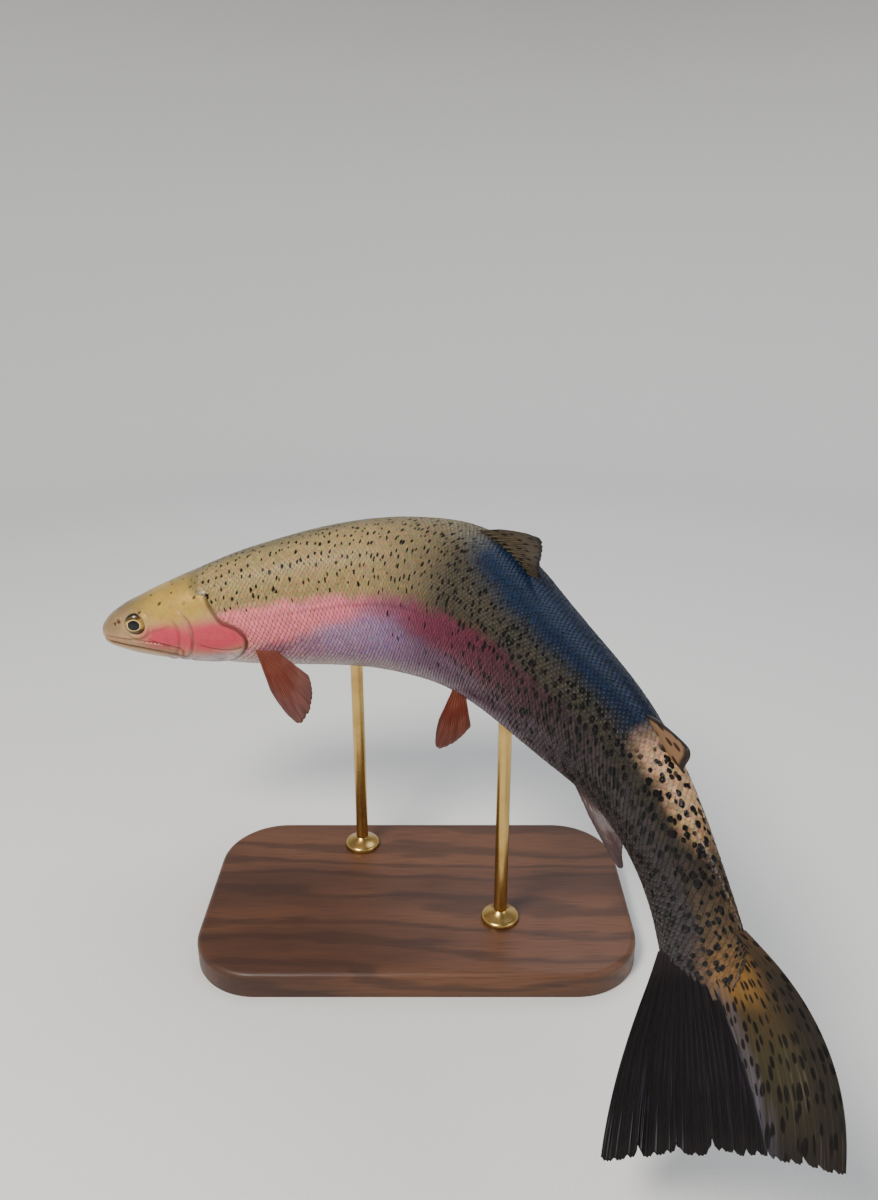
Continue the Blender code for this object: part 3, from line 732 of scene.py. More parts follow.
# %% Mix the body's colours
def markings(f):
    """The body's colour, how pearly it is, its spots, where its painted slate-blue sheen leaves spots out,
    and what they follow.
    """
    along, around = f.flat("Lay")
    _, turn = f.flat("Side")
    s = along / BODY_LENGTH
    cloud = f.noise(f.place(), 55.0, 3.0)
    fine = f.noise(f.place(), 420.0, 2.0)
    t = turn + (cloud - 0.5) * 0.040 + (fine - 0.5) * 0.012
    # from mid-body back these colours darken, partly the fish's own and partly painted shade
    back = s.ramp((0.14, tint(152, 130, 84)), (0.38, tint(146, 124, 84)), (0.46, tint(114, 99, 71)),
                  (0.53, tint(62, 55, 43)), (0.70, tint(49, 45, 36)), (0.90, tint(40, 36, 30)),
                  (0.97, tint(43, 35, 29)), (1.0, tint(64, 49, 33)))
    # the ridge: tan in front, a painted slate-blue sky reflection in painted shade behind the dorsal fin,
    # then tan lit by a painted pool of sunlight behind the adipose fin
    ridge = s.ramp((0.14, tint(104, 94, 62)), (0.48, tint(112, 102, 74)), (0.56, tint(18, 34, 56)),
                   (0.84, tint(9, 22, 42)), (0.875, tint(162, 130, 100)), (0.93, tint(146, 116, 84)),
                   (0.965, tint(54, 43, 33)), (1.0, tint(60, 46, 32)))
    band = s.ramp((0.16, tint(232, 128, 130)), (0.34, tint(220, 120, 134)), (0.42, tint(138, 78, 98)),
                  (0.50, tint(114, 50, 70)), (0.60, tint(90, 34, 50)), (0.68, tint(62, 31, 39)),
                  (0.80, tint(42, 32, 33)), (1.0, tint(40, 33, 31)))
    flank = s.ramp((0.18, tint(196, 130, 128)), (0.31, tint(168, 134, 162)), (0.40, tint(146, 118, 150)),
                   (0.50, tint(104, 74, 98)), (0.60, tint(86, 62, 78)), (0.74, tint(58, 50, 56)),
                   (0.86, tint(41, 37, 37)), (1.0, tint(41, 35, 38)))
    belly = s.ramp((0.2, tint(214, 196, 190)), (0.55, tint(160, 146, 158)), (0.78, tint(62, 57, 60)),
                   (1.0, tint(42, 38, 41)))
    # how far down the side the painted slate-blue sky reflection reaches
    painted_sheen_width = s.rising(0.46, 0.60) * s.rising(0.99, 0.93) * 0.080
    colour = f.mix((t - painted_sheen_width).rising(0.0, 0.080), ridge, back)
    # where the painted sheen lies, spots are left out
    unspotted_sheen = (t - painted_sheen_width).rising(0.060, 0.010) * s.rising(0.50, 0.58) * s.rising(0.875, 0.855)
    # the band's upper edge dips behind the shoulder and climbs again towards the tail
    upper = s.rising(0.24, 0.37) * 0.016 - s.rising(0.48, 0.74) * 0.030 + 0.210
    colour = f.mix((t - upper).rising(0.004, 0.030), colour, flank)
    # its lower edge climbs behind the pectoral fin, in two steps, and comes down again at mid-body
    lower = 0.312 - s.rising(0.22, 0.32) * 0.034 - s.rising(0.32, 0.38) * 0.022
    lower = lower + s.rising(0.42, 0.53) * 0.036
    strength = (t - upper).rising(-0.016, 0.016) * (t - lower).rising(0.026, -0.022) * s.rising(1.0, 0.72)
    colour = f.mix(strength, colour, band)
    colour = f.mix(t.rising(0.335, 0.425), colour, belly)
    # the last of the flesh warms towards the orange at the tail fin's root
    warm = s.rising(1.000, 1.048) * abs(t - 0.18).rising(0.12, 0.02)
    colour = f.mix(warm * 0.50, colour, tint(134, 96, 46))
    colour = f.mix(0.42, colour, fine.other("Color"), "OVERLAY")
    pearly = t.rising(0.20, 0.27) * s.rising(0.98, 0.60)
    # the lateral line, a fine dark thread along the middle of the side
    thread = abs(turn - 0.240).rising(0.0045, 0.0015) * s.rising(0.20, 0.30)
    colour = f.mix(thread * 0.22, colour, tint(60, 40, 40))
    spots = body_spots(f, s, t, along, around, fine) * (1 - unspotted_sheen * 0.8)
    return colour, pearly, spots, unspotted_sheen, (s, t, cloud, fine)


# %% Paint the skin
GLOSS = {"Specular_IOR_Level": 0.14, "Coat_Weight": 0.28, "Coat_Roughness": 0.16, "Coat_IOR": 1.45}
skin_finish = Finish("trout_skin", Roughness=0.36, **GLOSS)
f = skin_finish
colour, pearly, spots, _, (_, _, cloud, fine) = markings(f)
head, hollow, pale = f.mask("head"), f.mask("hollow"), f.mask("pale")
height, _ = f.flat("Side")
along, _ = f.flat("Lay")
crown = f.mix(cloud.rising(0.3, 0.7), tint(88, 80, 50), tint(124, 106, 64))
face = f.mix(height.rising(0.024, 0.008), crown, tint(184, 148, 106))
face = f.mix(along.rising(0.034, 0.010) * height.rising(-0.004, 0.008) * 0.7, face, tint(104, 88, 60))
face = f.mix(f.mask("bronze") * (cloud * 0.5 + 0.7), face, tint(188, 152, 74))
face = f.mix(pale, face, f.mix(cloud.rising(0.35, 0.65), tint(206, 188, 178), tint(168, 148, 158)))
face = f.mix(f.mask("blush") * (cloud * 0.4 + 0.8), face, tint(200, 66, 84))
face = f.mix(f.mask("ridge") * 0.5, face, tint(232, 168, 156))
face = f.mix(f.mask("jaw") * 0.45, face, tint(126, 92, 76))
dusk = f.noise(f.place(), 210.0, 4.0).rising(0.50, 0.72) * (pale * 0.25 + 0.20)
face = f.mix(dusk, face, tint(84, 66, 52))
face = f.mix(0.25, face, fine.other("Color"), "OVERLAY")
freckles = f.dots(f.uv("Lay"), 118.0, 0.9, lambda luck: luck * 0.10 + 0.10, 0.42, (-0.03, 0.03))
face = f.mix(freckles * height.rising(0.003, 0.010) * 0.85, face, tint(52, 40, 26))
face = f.mix(f.mask("lip") * 0.35, face, tint(120, 96, 84))
body = f.mix(spots * 0.92, f.mix(0.35, colour, tint(52, 44, 40)), BLACK_SPOT)
whole = f.mix(head, body, face)
whole = f.mix(f.mask("edge") * 0.75, whole, tint(46, 34, 34))
# painted shade in the head's hollows
whole = f.mix(hollow * 0.6, whole, tint(58, 38, 34))
grain = f.noise(f.place(), 1500.0, 3.0)
whole = f.mix((grain - 0.5) * 0.25, whole, tint(40, 34, 28))
f.feed(Base_Color=whole, Metallic=pearly * 0.25 * (1 - head) + (f.mask("blush") + f.mask("bronze")) * 0.22)
f.bumped(f.noise(f.place(), 700.0, 4.0) * 0.5 + f.noise(f.place(), 160.0, 2.0), 0.0005, 0.5)
FLESH = ("head", "lower_jaw", "gill_cover_left", "gill_cover_right",
         "trunk_front", "trunk_rear", "tail_stalk")
piece("skin", skin_bm, skin_finish.material, "flank_skin", FLESH)

# %% [markdown]
# ## The scales
# Each scale is a thin shield rooted towards the head, with a round free edge towards the tail, laid like
# roof tiles. A bump map would look right from the front but not along the outline, so they are real
# plates. One plate is made once, and arrays of places and turns lay a copy of it at every root. Its
# points follow the body's own surface, so it bends with the fish, and an underside closes each one.

# %% Shape one scale
PLATE_ROWS, PLATE_COLUMNS = 4, 6
PLATE_AT = [0, 0.25, 0.5, 0.75, 1.0]  # how far along the plate each row of points starts out
bm = bmesh.new()
bmesh.ops.create_grid(bm, x_segments=PLATE_ROWS, y_segments=PLATE_COLUMNS, size=0.5)
plate = np.array([v.co[:2] for v in bm.verts])
# turns run against the grid's y axis, so the corners are taken backwards to face outwards
plate_faces = np.array([[v.index for v in face.verts][::-1] for face in bm.faces])
bm.free()
row, across = plate[:, 0] + 0.5, plate[:, 1] * 2
reach = np.interp(row, PLATE_AT, [0.0, 0.38, 0.74, 0.985, 1.0])
plate_along = reach * (1 - 0.42 * np.abs(across) ** 2.2 * ease(row, 0.0, 0.75))
plate_across = across * np.interp(row, PLATE_AT, [0.80, 1.0, 1.0, 0.82, 0.82])
# the last row is the plate's free edge, turned down
plate_high = reach - 0.28 * across**2 - 0.75 * (row > 0.99)
outermost = np.flatnonzero(np.abs(plate).max(1) > 0.499)
plate_rim = outermost[np.argsort(np.arctan2(plate[outermost, 1], plate[outermost, 0]))]
print("one scale has", 2 * len(plate_faces) + len(plate_rim) - 2, "triangles")

# %% Lay out the roots, ring by ring
RING_STEP, ROW_WIDTH, SCALE_LENGTH, SCALE_WIDTH = 0.00165, 0.0043, 0.0056, 0.0050
SCALES_FROM, SCALES_TO = 0.140, 1.050
CROWN_HEIGHT, NAPE = 0.0235, 0.0805  # the height over the spine where the crown starts, and its end
CLEAR_OF_COVER = 0.0018  # from the gill cover's edge back to the first scales' free edges
rng = np.random.default_rng(11)
roots = []
for ring, s in enumerate(np.arange(SCALES_FROM, SCALES_TO, RING_STEP / BODY_LENGTH)):
    count = 8 * round(float(girth_at(s)) * (1 - 0.15 * ease(s, 0.8, 1.0)) / ROW_WIDTH / 8)
    turns = (np.arange(count) + 0.5 * (ring % 2)) / count
    roots.append(np.stack([np.full(count, s), turns, np.full(count, girth_at(s) / count)], -1))
roots = np.concatenate(roots)
# scales begin behind the gill cover's edge, and on the crown behind a line across the nape
free_edge = roots[:, 0] + 0.8 * SCALE_LENGTH / BODY_LENGTH
behind_cover = behind_opening(free_edge, roots[:, 1])[0] > CLEAR_OF_COVER
high = height_at(roots[:, 0], roots[:, 1])
behind_nape = to_nape(roots[:, 0] * BODY_LENGTH, high) > NAPE
roots = roots[np.where((high > CROWN_HEIGHT) & (roots[:, 0] < 0.2), behind_nape, behind_cover)]
print("scales:", len(roots))


# %% Let the first scales follow the head's carving
TUCK = 0.0028
BESIDE_HEAD = 0.26  # scales follow the carving up to this station


def sunk_at(s, turn):
    """How far scales follow the hollows beside the head. None stands on what is raised there."""
    sunk = np.zeros(len(s))
    near = np.flatnonzero(s < BESIDE_HEAD)
    if len(near):
        s, turn = s[near], turn[near] % 1
        # a root in front of the gill cover's edge is tucked under the cover
        tucked = (1 - ease(behind_opening(s, turn)[0], 0.0, 0.0007)) * (height_at(s, turn) < CROWN_HEIGHT)
        sunk[near] = np.minimum(np.clip(relief(s, turn)[0], None, 0), -TUCK * tucked)
    return sunk


print("deepest tuck: %.1f mm" % (-1000 * sunk_at(roots[:, 0], roots[:, 1]).min()))

# %% Lay the scales
SCALE_SUNK, SCALE_LIFT = 0.0001, 0.00045
LIFT_LUCK, LENGTH_LUCK, TWIST_LUCK = 0.4, 0.08, 0.0003  # how much one scale differs from another
PATCH = (0.003, 0.0015)  # a scale's patch on the unwrap


def coat(name, roots, finish):
    """Lays one scale at every root as one mesh, with its maps."""
    count, points = len(roots), len(plate)
    luck = rng.random((count, 3))
    lift, length, twist = (luck[:, k : k + 1] for k in range(3))
    grown = ease(roots[:, 0:1], SCALES_FROM, SCALES_FROM + 0.05) * 0.35 + 0.65
    width = roots[:, 2:3] * SCALE_WIDTH / ROW_WIDTH
    length = SCALE_LENGTH * grown * (1 + LENGTH_LUCK * (length - 0.5))
    s = roots[:, 0:1] + plate_along * length / BODY_LENGTH
    turn = roots[:, 1:2] + plate_across * width / 2 / girth_at(np.minimum(s, BODY_END))
    turn = turn + (twist - 0.5) * TWIST_LUCK
    high = plate_high * SCALE_LIFT * (0.8 + LIFT_LUCK * lift) * grown - SCALE_DEPTH - SCALE_SUNK
    s, turn, high = s.ravel(), turn.ravel(), high.ravel()
    co = flesh_point(s, turn % 1, high + sunk_at(s, turn))
    first = np.arange(count)[:, None] * points
    faces = (plate_faces[None] + first[:, :, None]).reshape(-1, 4)
    undersides = plate_rim[None] + first
    mesh = bpy.data.meshes.new(name)
    mesh.from_pydata(co, [], faces.tolist() + undersides.tolist())
    # a scale's turns stay on one side of the belly's seam, so that its markings don't wrap round
    root_turn = np.repeat((roots[:, 1] + 0.5) % 1 - 0.5, points)
    skin_lay, skin_side = lay(s, root_turn + (turn - root_turn + 0.5) % 1 - 0.5)
    local = np.stack([plate_along, plate_across], -1)
    spread = (local - local.mean(0)) * PATCH
    root_place = np.stack([roots[:, 0] / MAP_LENGTH, (roots[:, 1] + 0.5) % 1], -1) * 0.99 + 0.005
    maps = {
        "OFBake": np.clip(root_place[:, None] + spread[None], 0, 1).reshape(-1, 2),
        "Lay": skin_lay,
        "Side": skin_side,
        "Scale": np.tile(local, (count, 1)),
        "Luck": np.repeat(luck[:, :2], points, 0),
    }
    corners = np.concatenate([faces.ravel(), undersides.ravel()])
    for key, values in maps.items():
        values = values[corners].astype(np.float32)
        if key == "OFBake":
            # an underside is never seen, so it takes only its root's point of the map
            values[faces.size :] = np.repeat(root_place, len(plate_rim), 0)
        mesh.uv_layers.new(name=key).data.foreach_set("uv", values.ravel())
    dressed(name, mesh, finish, "flank_skin")
    # a flat underside leaves the smooth shading of the plate's top as it is
    mesh.polygons.foreach_set("use_smooth", np.arange(len(mesh.polygons)) < len(faces))


# %% Paint the scales and part them into coats
PARTS = 6
f = scale_finish = Finish("trout_scales", Roughness=0.32, **GLOSS)
colour, pearly, spots, unspotted_sheen, (s, t, _, fine) = markings(f)
p, q = f.flat("Scale")
luck, _ = f.flat("Luck")
bulge = ((p - 0.30) / 0.70) ** 2 + q * q * 0.8
rim = bulge.rising(0.62, 1.0)
net = t.rising(0.19, 0.25) * s.rising(0.92, 0.60)
colour = f.mix(rim * (net * 0.48 + 0.20), colour, tint(48, 36, 42))
contrast = s.rising(0.50, 0.72) * 0.34 + 0.24
shade = (luck - 0.5) * contrast + 1.0
colour = f.mix(1.0, colour, f.join(shade, shade, shade), "MULTIPLY")
colour = f.mix(spots, colour, BLACK_SPOT)
wet = (s.rising(0.85, 0.45) * 0.16 + 0.12) * (1 - spots * 0.8) * (1 - unspotted_sheen * 0.75)
f.feed(Base_Color=colour, Metallic=pearly * (0.42 - spots * 0.42), Coat_Weight=wet)
f.bumped((p * 62.0).maths("SINE") * 0.5 + fine, 0.00008, 0.4)
for k, group in enumerate(np.array_split(roots[np.argsort(roots[:, 0])], PARTS)):
    coat(f"scales_{k + 1}", group, scale_finish.material)

# %% [markdown]
# ## Fins with real rays
# A fin is a fan: each ray starts on the body and runs out in its own direction, splitting in two and
# then in four, with a thin membrane between. Folding a share of the width over itself twice gives that
# branching without drawing any ray. Two sides of the fan are one rolled sheet, thick at the rays and
# thin between them, and the free edge is a little ragged where the membrane has split.

# %% Split the rays and fray the edge
def branching(w, t, rays):
    """How near a ray is, from 0 on the membrane to 1 on the ray, as rays split on their way out."""
    first, second = ease(t, 0.22, 0.46), ease(t, 0.55, 0.80)
    across = np.abs(w * rays - np.floor(w * rays) - 0.5)
    across = np.abs(np.abs(across - 0.25 * first) - 0.125 * second)
    return hump(across, 0.21 * (1 - 0.50 * first) * (1 - 0.45 * second))


def ragged(w, rays, fray, seed, splits=()):
    """The share of its length that a ray keeps at the free edge."""
    rng = np.random.default_rng(seed)
    tips = rng.random(rays + 2)
    off = np.abs(w * rays - np.floor(w * rays) - 0.5) * 2
    fine = np.abs(np.sin(w * rays * 2 * np.pi * 2))
    keep = 1 - fray * (0.45 * np.interp(w * rays, np.arange(rays + 2), tips) + 0.40 * off**3 + 0.15 * fine)
    for at, wide, deep in splits:
        keep = keep - deep * np.exp(-np.abs(w - at) / wide)
    return keep


# %% Shape a fan of rays
FIN_EDGE = 0.0009  # every fin's thickness at its free edge, in metres


def fin(name, root, ray, length, thick, curl, finish, slot, rays,
        fray=0.0, seed=1, splits=(), carve=0.6, columns=120, rows=40):
    """A fan whose rays start at root(w) and run out along ray(w), with w from 0 in front to 1."""

    def run(w):
        return length(w) * ragged(w, rays, fray, seed, splits)

    def middle(w, t):
        return root(w) + ray(w) * (run(w) * t)[..., None] + curl(w, t)

    def share(v):
        # once round the tube goes back over the fan's one face and forward over the other
        return 1 - np.abs(2 * (v % 1) - 1)

    def place(u, v):
        w, d = share(v), 1e-3
        nearest_edge = np.minimum(w, 1 - w)
        rounding = np.clip(nearest_edge / 0.02, 0, 1) ** 0.5 * np.where(v < 0.5, 1, -1)
        flat = middle(np.clip(w + d, 0, 1), u) - middle(np.clip(w - d, 0, 1), u)
        out = middle(w, np.clip(u + d, 0, 1)) - middle(w, np.clip(u - d, 0, 1))
        normal = np.cross(flat, out)
        normal /= np.linalg.norm(normal, axis=-1, keepdims=True)
        half = (thick + (FIN_EDGE - thick) * u**0.7) / 2
        half = half * (1 - carve * (1 - branching(w, u, rays)) * ease(u, 0.0, 0.15))
        return middle(w, u) + normal * (rounding * half)[..., None]

    bm, shares = rolled(rows, 2 * columns, place)
    u, v = shares[:, 0], shares[:, 1]
    w = share(v)
    front, last = (middle(np.full(1, side), np.full(1, 0.6)) for side in (0.0, 1.0))
    maps = {
        "OFBake": np.stack([u * 0.98 + 0.01, v * 0.98 + 0.01], -1),
        "Spread": np.stack([w * np.linalg.norm(last - front), u * run(w)], -1),
        "Share": np.stack([w, u], -1),
    }
    mapped(bm, maps, {"ray": branching(w, u, rays), "rim": run(w) * (1 - u)})
    piece(f"{name}_skin", bm, finish, slot, (name,))


# %% [markdown]
# ## The colours of the fins
# The dorsal fin is brown with black spots and a dark margin, and the belly's fins are dull red. In all
# of them the rays are paler than the membrane, and in streaks, since no ray shows along its whole run.

# %% Mix the fins' colours
def ray_bumps(f, across, along, fineness):
    """Raised rays, with fine joints across them."""
    joints = f.noise(f.join(across * 300.0, along * fineness), 1.0, 2.0)
    f.bumped(f.mask("ray") * 0.6 + joints * 0.4, 0.0003, 0.5)


def fin_finish(name, root, middle, edge, streak, spots=0.0, margin=None):
    """Colours from root to free edge and on the rays, the spots' chance, and the dark margin."""
    f = Finish(name, Roughness=0.42, **GLOSS)
    _, t = f.flat("Share")
    across, along = f.flat("Spread")
    cloud = f.noise(f.uv("Spread"), 90.0, 3.0)
    streaky = f.noise(f.join(across * 700.0, along * 45.0), 1.0, 2.0)
    colour = (t + (cloud - 0.5) * 0.2).ramp((0.0, root), (0.45, middle), (1.0, edge))
    colour = f.mix(f.mask("ray") * streaky.rising(0.30, 0.75) * 0.65, colour, streak)
    wavering = f.join(across + (streaky - 0.5) * 0.001, along * 0.55)
    dots = f.dots(wavering, 155.0, 0.8, lambda luck: luck * 0.12 + 0.17, spots, (-0.04, 0.03))
    colour = f.mix(dots * 0.92, colour, BLACK_SPOT)
    if margin:
        depth, strength = margin
        rim = f.mask("rim") + (cloud - 0.5) * depth * 0.8
        colour = f.mix(rim.rising(depth, depth * 0.35) * strength, colour, tint(26, 22, 20))
    f.feed(Base_Color=colour)
    ray_bumps(f, across, along, 1400.0)
    return f


back_fin = fin_finish("back_fin", tint(70, 64, 48), tint(66, 56, 42), tint(46, 40, 36),
                      tint(104, 90, 68), spots=0.95, margin=(0.0045, 0.8))
anal_finish = fin_finish("anal_fin_red", tint(74, 54, 50), tint(62, 42, 40), tint(50, 36, 38),
                         tint(96, 74, 72))
belly_fin = fin_finish("belly_fin_red", tint(118, 64, 50), tint(98, 43, 32), tint(74, 41, 35),
                       tint(142, 94, 76))
print("nodes in a fin's finish:", len(back_fin.tree.nodes))


# %% Root the small fins on the body
def towards(base, lead, last):
    """Ray directions, from lead to last, each given as its tailward, up and left parts."""

    def ray(w):
        axes = axes_at(base[0] + (base[1] - base[0]) * w)
        parts = np.array(lead) + (np.array(last) - np.array(lead)) * w[..., None]
        way = sum(parts[..., k : k + 1] * axes[k] for k in range(3))
        return way / np.linalg.norm(way, axis=-1, keepdims=True)

    return ray


def rounded_length(lead, last, corner=0.24):
    """Ray lengths that rise quickly to the fin's corner and then fall to the last ray."""

    def length(w):
        rise = np.sin(np.clip(w / corner, 0, 1) * np.pi / 2)
        fall = np.clip((w - corner) / (1 - corner), 0, 1) ** 1.3
        return lead * (0.55 + 0.45 * rise) * (1 - fall) + last * fall

    return length


FIN_SUNK = 0.004  # how deep the roots sit in the flesh


def small_fin(name, base, turn, lead, last, lengths, thick, finish, slot, rays, **more):
    """A fin rooted between the two stations of base, at one turn round the body."""

    def root(w):
        return body_point(base[0] + (base[1] - base[0]) * w, turn, -FIN_SUNK)

    def sway(w, t):
        left = axes_at(base[0] + (base[1] - base[0]) * w)[2]
        return left * (0.0007 * np.sin(w * 9 + 1) * t**2)[..., None]

    fin(name, root, towards(base, lead, last), rounded_length(*lengths), thick, sway,
        finish.material, slot, rays, **more)


small_fin("dorsal_fin", (0.495, 0.602), 0.0, (0.955, 0.27, 0.10), (0.92, 0.30, 0.24),
          (0.060, 0.027), 0.0036, back_fin, "fin", 12, fray=0.05, seed=4)
small_fin("anal_fin", (0.748, 0.835), 0.5, (0.92, -0.40, 0.0), (0.93, -0.36, 0.0),
          (0.060, 0.025), 0.0034, anal_finish, "belly_fin", 10, fray=0.04, seed=5)
for side, sign in (("left", 1), ("right", -1)):
    flip = np.array((1, 1, sign))
    small_fin(f"pelvic_fin_{side}", (0.535, 0.560), 0.5 - 0.075 * sign,
              flip * (0.50, -0.45, 0.72), flip * (0.84, -0.34, 0.36),
              (0.052, 0.030), 0.0032, belly_fin, "belly_fin", 9, fray=0.04, seed=6)
    small_fin(f"pectoral_fin_{side}", (0.205, 0.228), 0.5 - 0.155 * sign,
              flip * (0.32, -0.54, 0.78), flip * (0.70, -0.50, 0.50),
              (0.072, 0.036), 0.0036, belly_fin, "belly_fin", 13, fray=0.04, seed=7)

# %% [markdown]
# ## The adipose fin
# Behind the dorsal fin sits a small fleshy flap with no rays at all. It is orange tan with a few large
# spots and a black border, so it gets a plain fan with nothing carved into it and a finish of its own.

# %% Make the adipose fin
f = adipose_finish = Finish("adipose_skin", Roughness=0.38, **GLOSS)
w, t = f.flat("Share")
cloud = f.noise(f.uv("Spread"), 160.0, 3.0)
colour = f.mix(t.rising(0.1, 0.9), tint(112, 88, 62), tint(118, 88, 62))
cell = f.cells(f.uv("Spread"), 115.0, scatter=0.6)
colour = f.mix((0.27 - cell).rising(-0.05, 0.04) * t.rising(0.20, 0.35), colour, tint(50, 24, 16))
border = (f.mask("rim") + (cloud - 0.5) * 0.003).rising(0.0052, 0.0026)
border = border.maths("MAXIMUM", (w + (cloud - 0.5) * 0.06).rising(0.16, 0.07))
colour = f.mix(border * 0.93, colour, tint(24, 20, 18))
f.feed(Base_Color=colour)
f.bumped(cloud, 0.0004, 0.4)
small_fin("adipose_fin", (0.822, 0.862), 0.0, (0.95, 0.30, 0.0), (0.97, 0.22, 0.08), (0.038, 0.022), 0.0042,
          adipose_finish, "fin", 3, carve=0.0, columns=60)

# %% [markdown]
# ## The tail fin
# The tail spreads in two lobes from the end of the flesh. Its outer rays bulge, the whole fin curls to
# the left, and the upper lobe is folded a little over the lower one, with a pale painted highlight along
# the crease between them. The upper lobe is olive with an orange glow by its root and a dark front edge,
# the lower one is painted nearly black as painted shade, with painted lilac glints on its rays, and the
# spots are drawn out along the rays.

# %% Paint the tail fin
TAIL_GLOSS = {**GLOSS, "Specular_IOR_Level": 0.08, "Coat_Weight": 0.07}
OLIVES = (tint(60, 45, 31), tint(68, 52, 31), tint(54, 48, 31), tint(38, 35, 29))
FOLD_AT, FOLD_LEAN = 0.465, 0.16  # where the lobes part at the root, and how far the crease leans up
f = tail_finish = Finish("tail_skin", Roughness=0.55, **TAIL_GLOSS)
w, t = f.flat("Share")
across, along = f.flat("Spread")
cloud = f.noise(f.uv("Spread"), 45.0, 3.0)
streaky = f.noise(f.join(across * 520.0, along * 26.0), 1.0, 3.0)
t = t + (cloud - 0.5) * 0.16
upper = t.ramp(*zip((0.0, 0.30, 0.60, 1.0), OLIVES))
glow = (((w - 0.29) / 0.20) ** 2 + ((t - 0.14) / 0.25) ** 2).rising(1.2, 0.0) * (streaky * 0.5 + 0.6)
upper = f.mix(glow * 0.70, upper, tint(138, 100, 46))
front_edge = (w + (cloud - 0.5) * 0.06).rising(0.20, 0.04) * t.rising(0.0, 0.3)
upper = f.mix(front_edge * 0.9, upper, tint(34, 30, 26))
# painted shade: the lower lobe is painted nearly black
lower = t.ramp((0.0, tint(34, 28, 29)), (0.2, tint(14, 10, 13)), (1.0, tint(14, 11, 14)))
beyond = w + t * FOLD_LEAN + (cloud - 0.5) * 0.03 - FOLD_AT
lobe = beyond.rising(-0.008, 0.010)
# a painted highlight along the crease where the upper lobe folds over the lower
crease_highlight = beyond.rising(-0.085, -0.010) * beyond.rising(0.012, 0.0) * t.rising(0.04, 0.2)
colour = f.mix(lobe, upper, lower)
colour = f.mix(crease_highlight * streaky.rising(0.30, 0.65) * 0.55, colour, tint(94, 90, 110))
# rays show paler in streaks: tan on the upper lobe, and painted lilac glints on the lower
ray_tone_and_glint = f.mix(lobe, tint(112, 98, 82), tint(104, 88, 116))
shown = f.mask("ray") * streaky.rising(0.52, 0.72)
colour = f.mix(shown * t.rising(0.35, 0.85) * (lobe * -0.44 + 0.58), colour, ray_tone_and_glint)
drawn_out = f.join(across + (streaky - 0.5) * 0.0008, along * (0.68 - t * 0.19))
chance = t.rising(1.15, 0.85) * (lobe * -0.6 + 1.0)
dots = f.dots(drawn_out, 245.0, 0.65, lambda luck: luck * 0.12 + 0.21, chance, (-0.05, 0.04))
colour = f.mix(dots * 0.93, colour, tint(14, 11, 10))
colour = f.mix(f.mask("rim").rising(0.010, 0.002) * streaky * 0.8, colour, tint(28, 23, 24))
f.feed(Base_Color=colour)
ray_bumps(f, across, along, 1100.0)
print("nodes in the tail's finish:", len(f.tree.nodes))

# %% Shape the tail fin
TAIL_ROOT = np.array(1.015)
TAIL_REACH, TAIL_FORK, TAIL_HALF_SPREAD, TAIL_BULGE = 0.0850, 0.0040, 0.0764, 0.0120
TAIL_CURL, TAIL_LOWER_CURL = 0.0083, 0.0248
TAIL_UPPER_BOW, TAIL_LOWER_BOW = -0.0040, 0.0038
TAIL_THICK, TAIL_FOLD = 0.0040, 0.0016
SPLITS = (  # notches in the free edge: their place on the width, their breadth and their depth
    (0.16, 0.006, 0.05),
    (0.30, 0.008, 0.07),
    (0.41, 0.006, 0.05),
    (0.56, 0.010, 0.08),
    (0.70, 0.008, 0.05),
    (0.85, 0.010, 0.07),
)
tailward, up, left = (axis[None] for axis in axes_at(TAIL_ROOT))
tail_centre, tail_high, tail_low = spine_at(TAIL_ROOT)[None], size_at(TAIL_ROOT, 1), size_at(TAIL_ROOT, 2)


def tail_rise(w):
    return tail_high - (tail_high + tail_low) * w


def tail_root(w):
    return tail_centre + up * tail_rise(w)[..., None]


def tail_reach(w):
    lobe = 1 - 2 * w
    spread = TAIL_HALF_SPREAD * lobe - tail_rise(w)
    return up * spread[..., None] + tailward * (TAIL_REACH + TAIL_FORK * np.abs(lobe))[..., None]


def tail_length(w):
    return np.linalg.norm(tail_reach(w), axis=-1)


def tail_ray(w):
    return tail_reach(w) / tail_length(w)[..., None]


def tail_curl(w, t):
    lobe, bow = 1 - 2 * w, 4 * t * (1 - t)
    upper, lower = np.clip(lobe, 0, 1) ** 1.2, np.clip(-lobe, 0, 1) ** 1.2
    leftward = TAIL_CURL * t**2 + upper * TAIL_UPPER_BOW * bow
    leftward = leftward + lower * (TAIL_LOWER_CURL * t**1.5 + TAIL_LOWER_BOW * bow)
    across = w + FOLD_LEAN * t - FOLD_AT
    fold = (hump(across + 0.03, 0.05) - hump(across - 0.035, 0.035)) * TAIL_FOLD * ease(t, 0.1, 0.45)
    return left * (leftward + fold)[..., None] + up * (TAIL_BULGE * lobe * bow)[..., None]


fin("tail_fin", tail_root, tail_ray, tail_length, TAIL_THICK, tail_curl, tail_finish.material, "fin", 19,
    fray=0.05, seed=9, splits=SPLITS, carve=0.35, columns=460, rows=84)

# %% [markdown]
# ## The eyes
# A taxidermist sets painted glass in the head. Here each eye is a flattened ball whose pole looks
# outwards, so its two flat coordinates are the places on the iris. The pupil comes to a blunt point in
# front, the iris is gold round it and dark above and below, and a hard gloss gives it life.

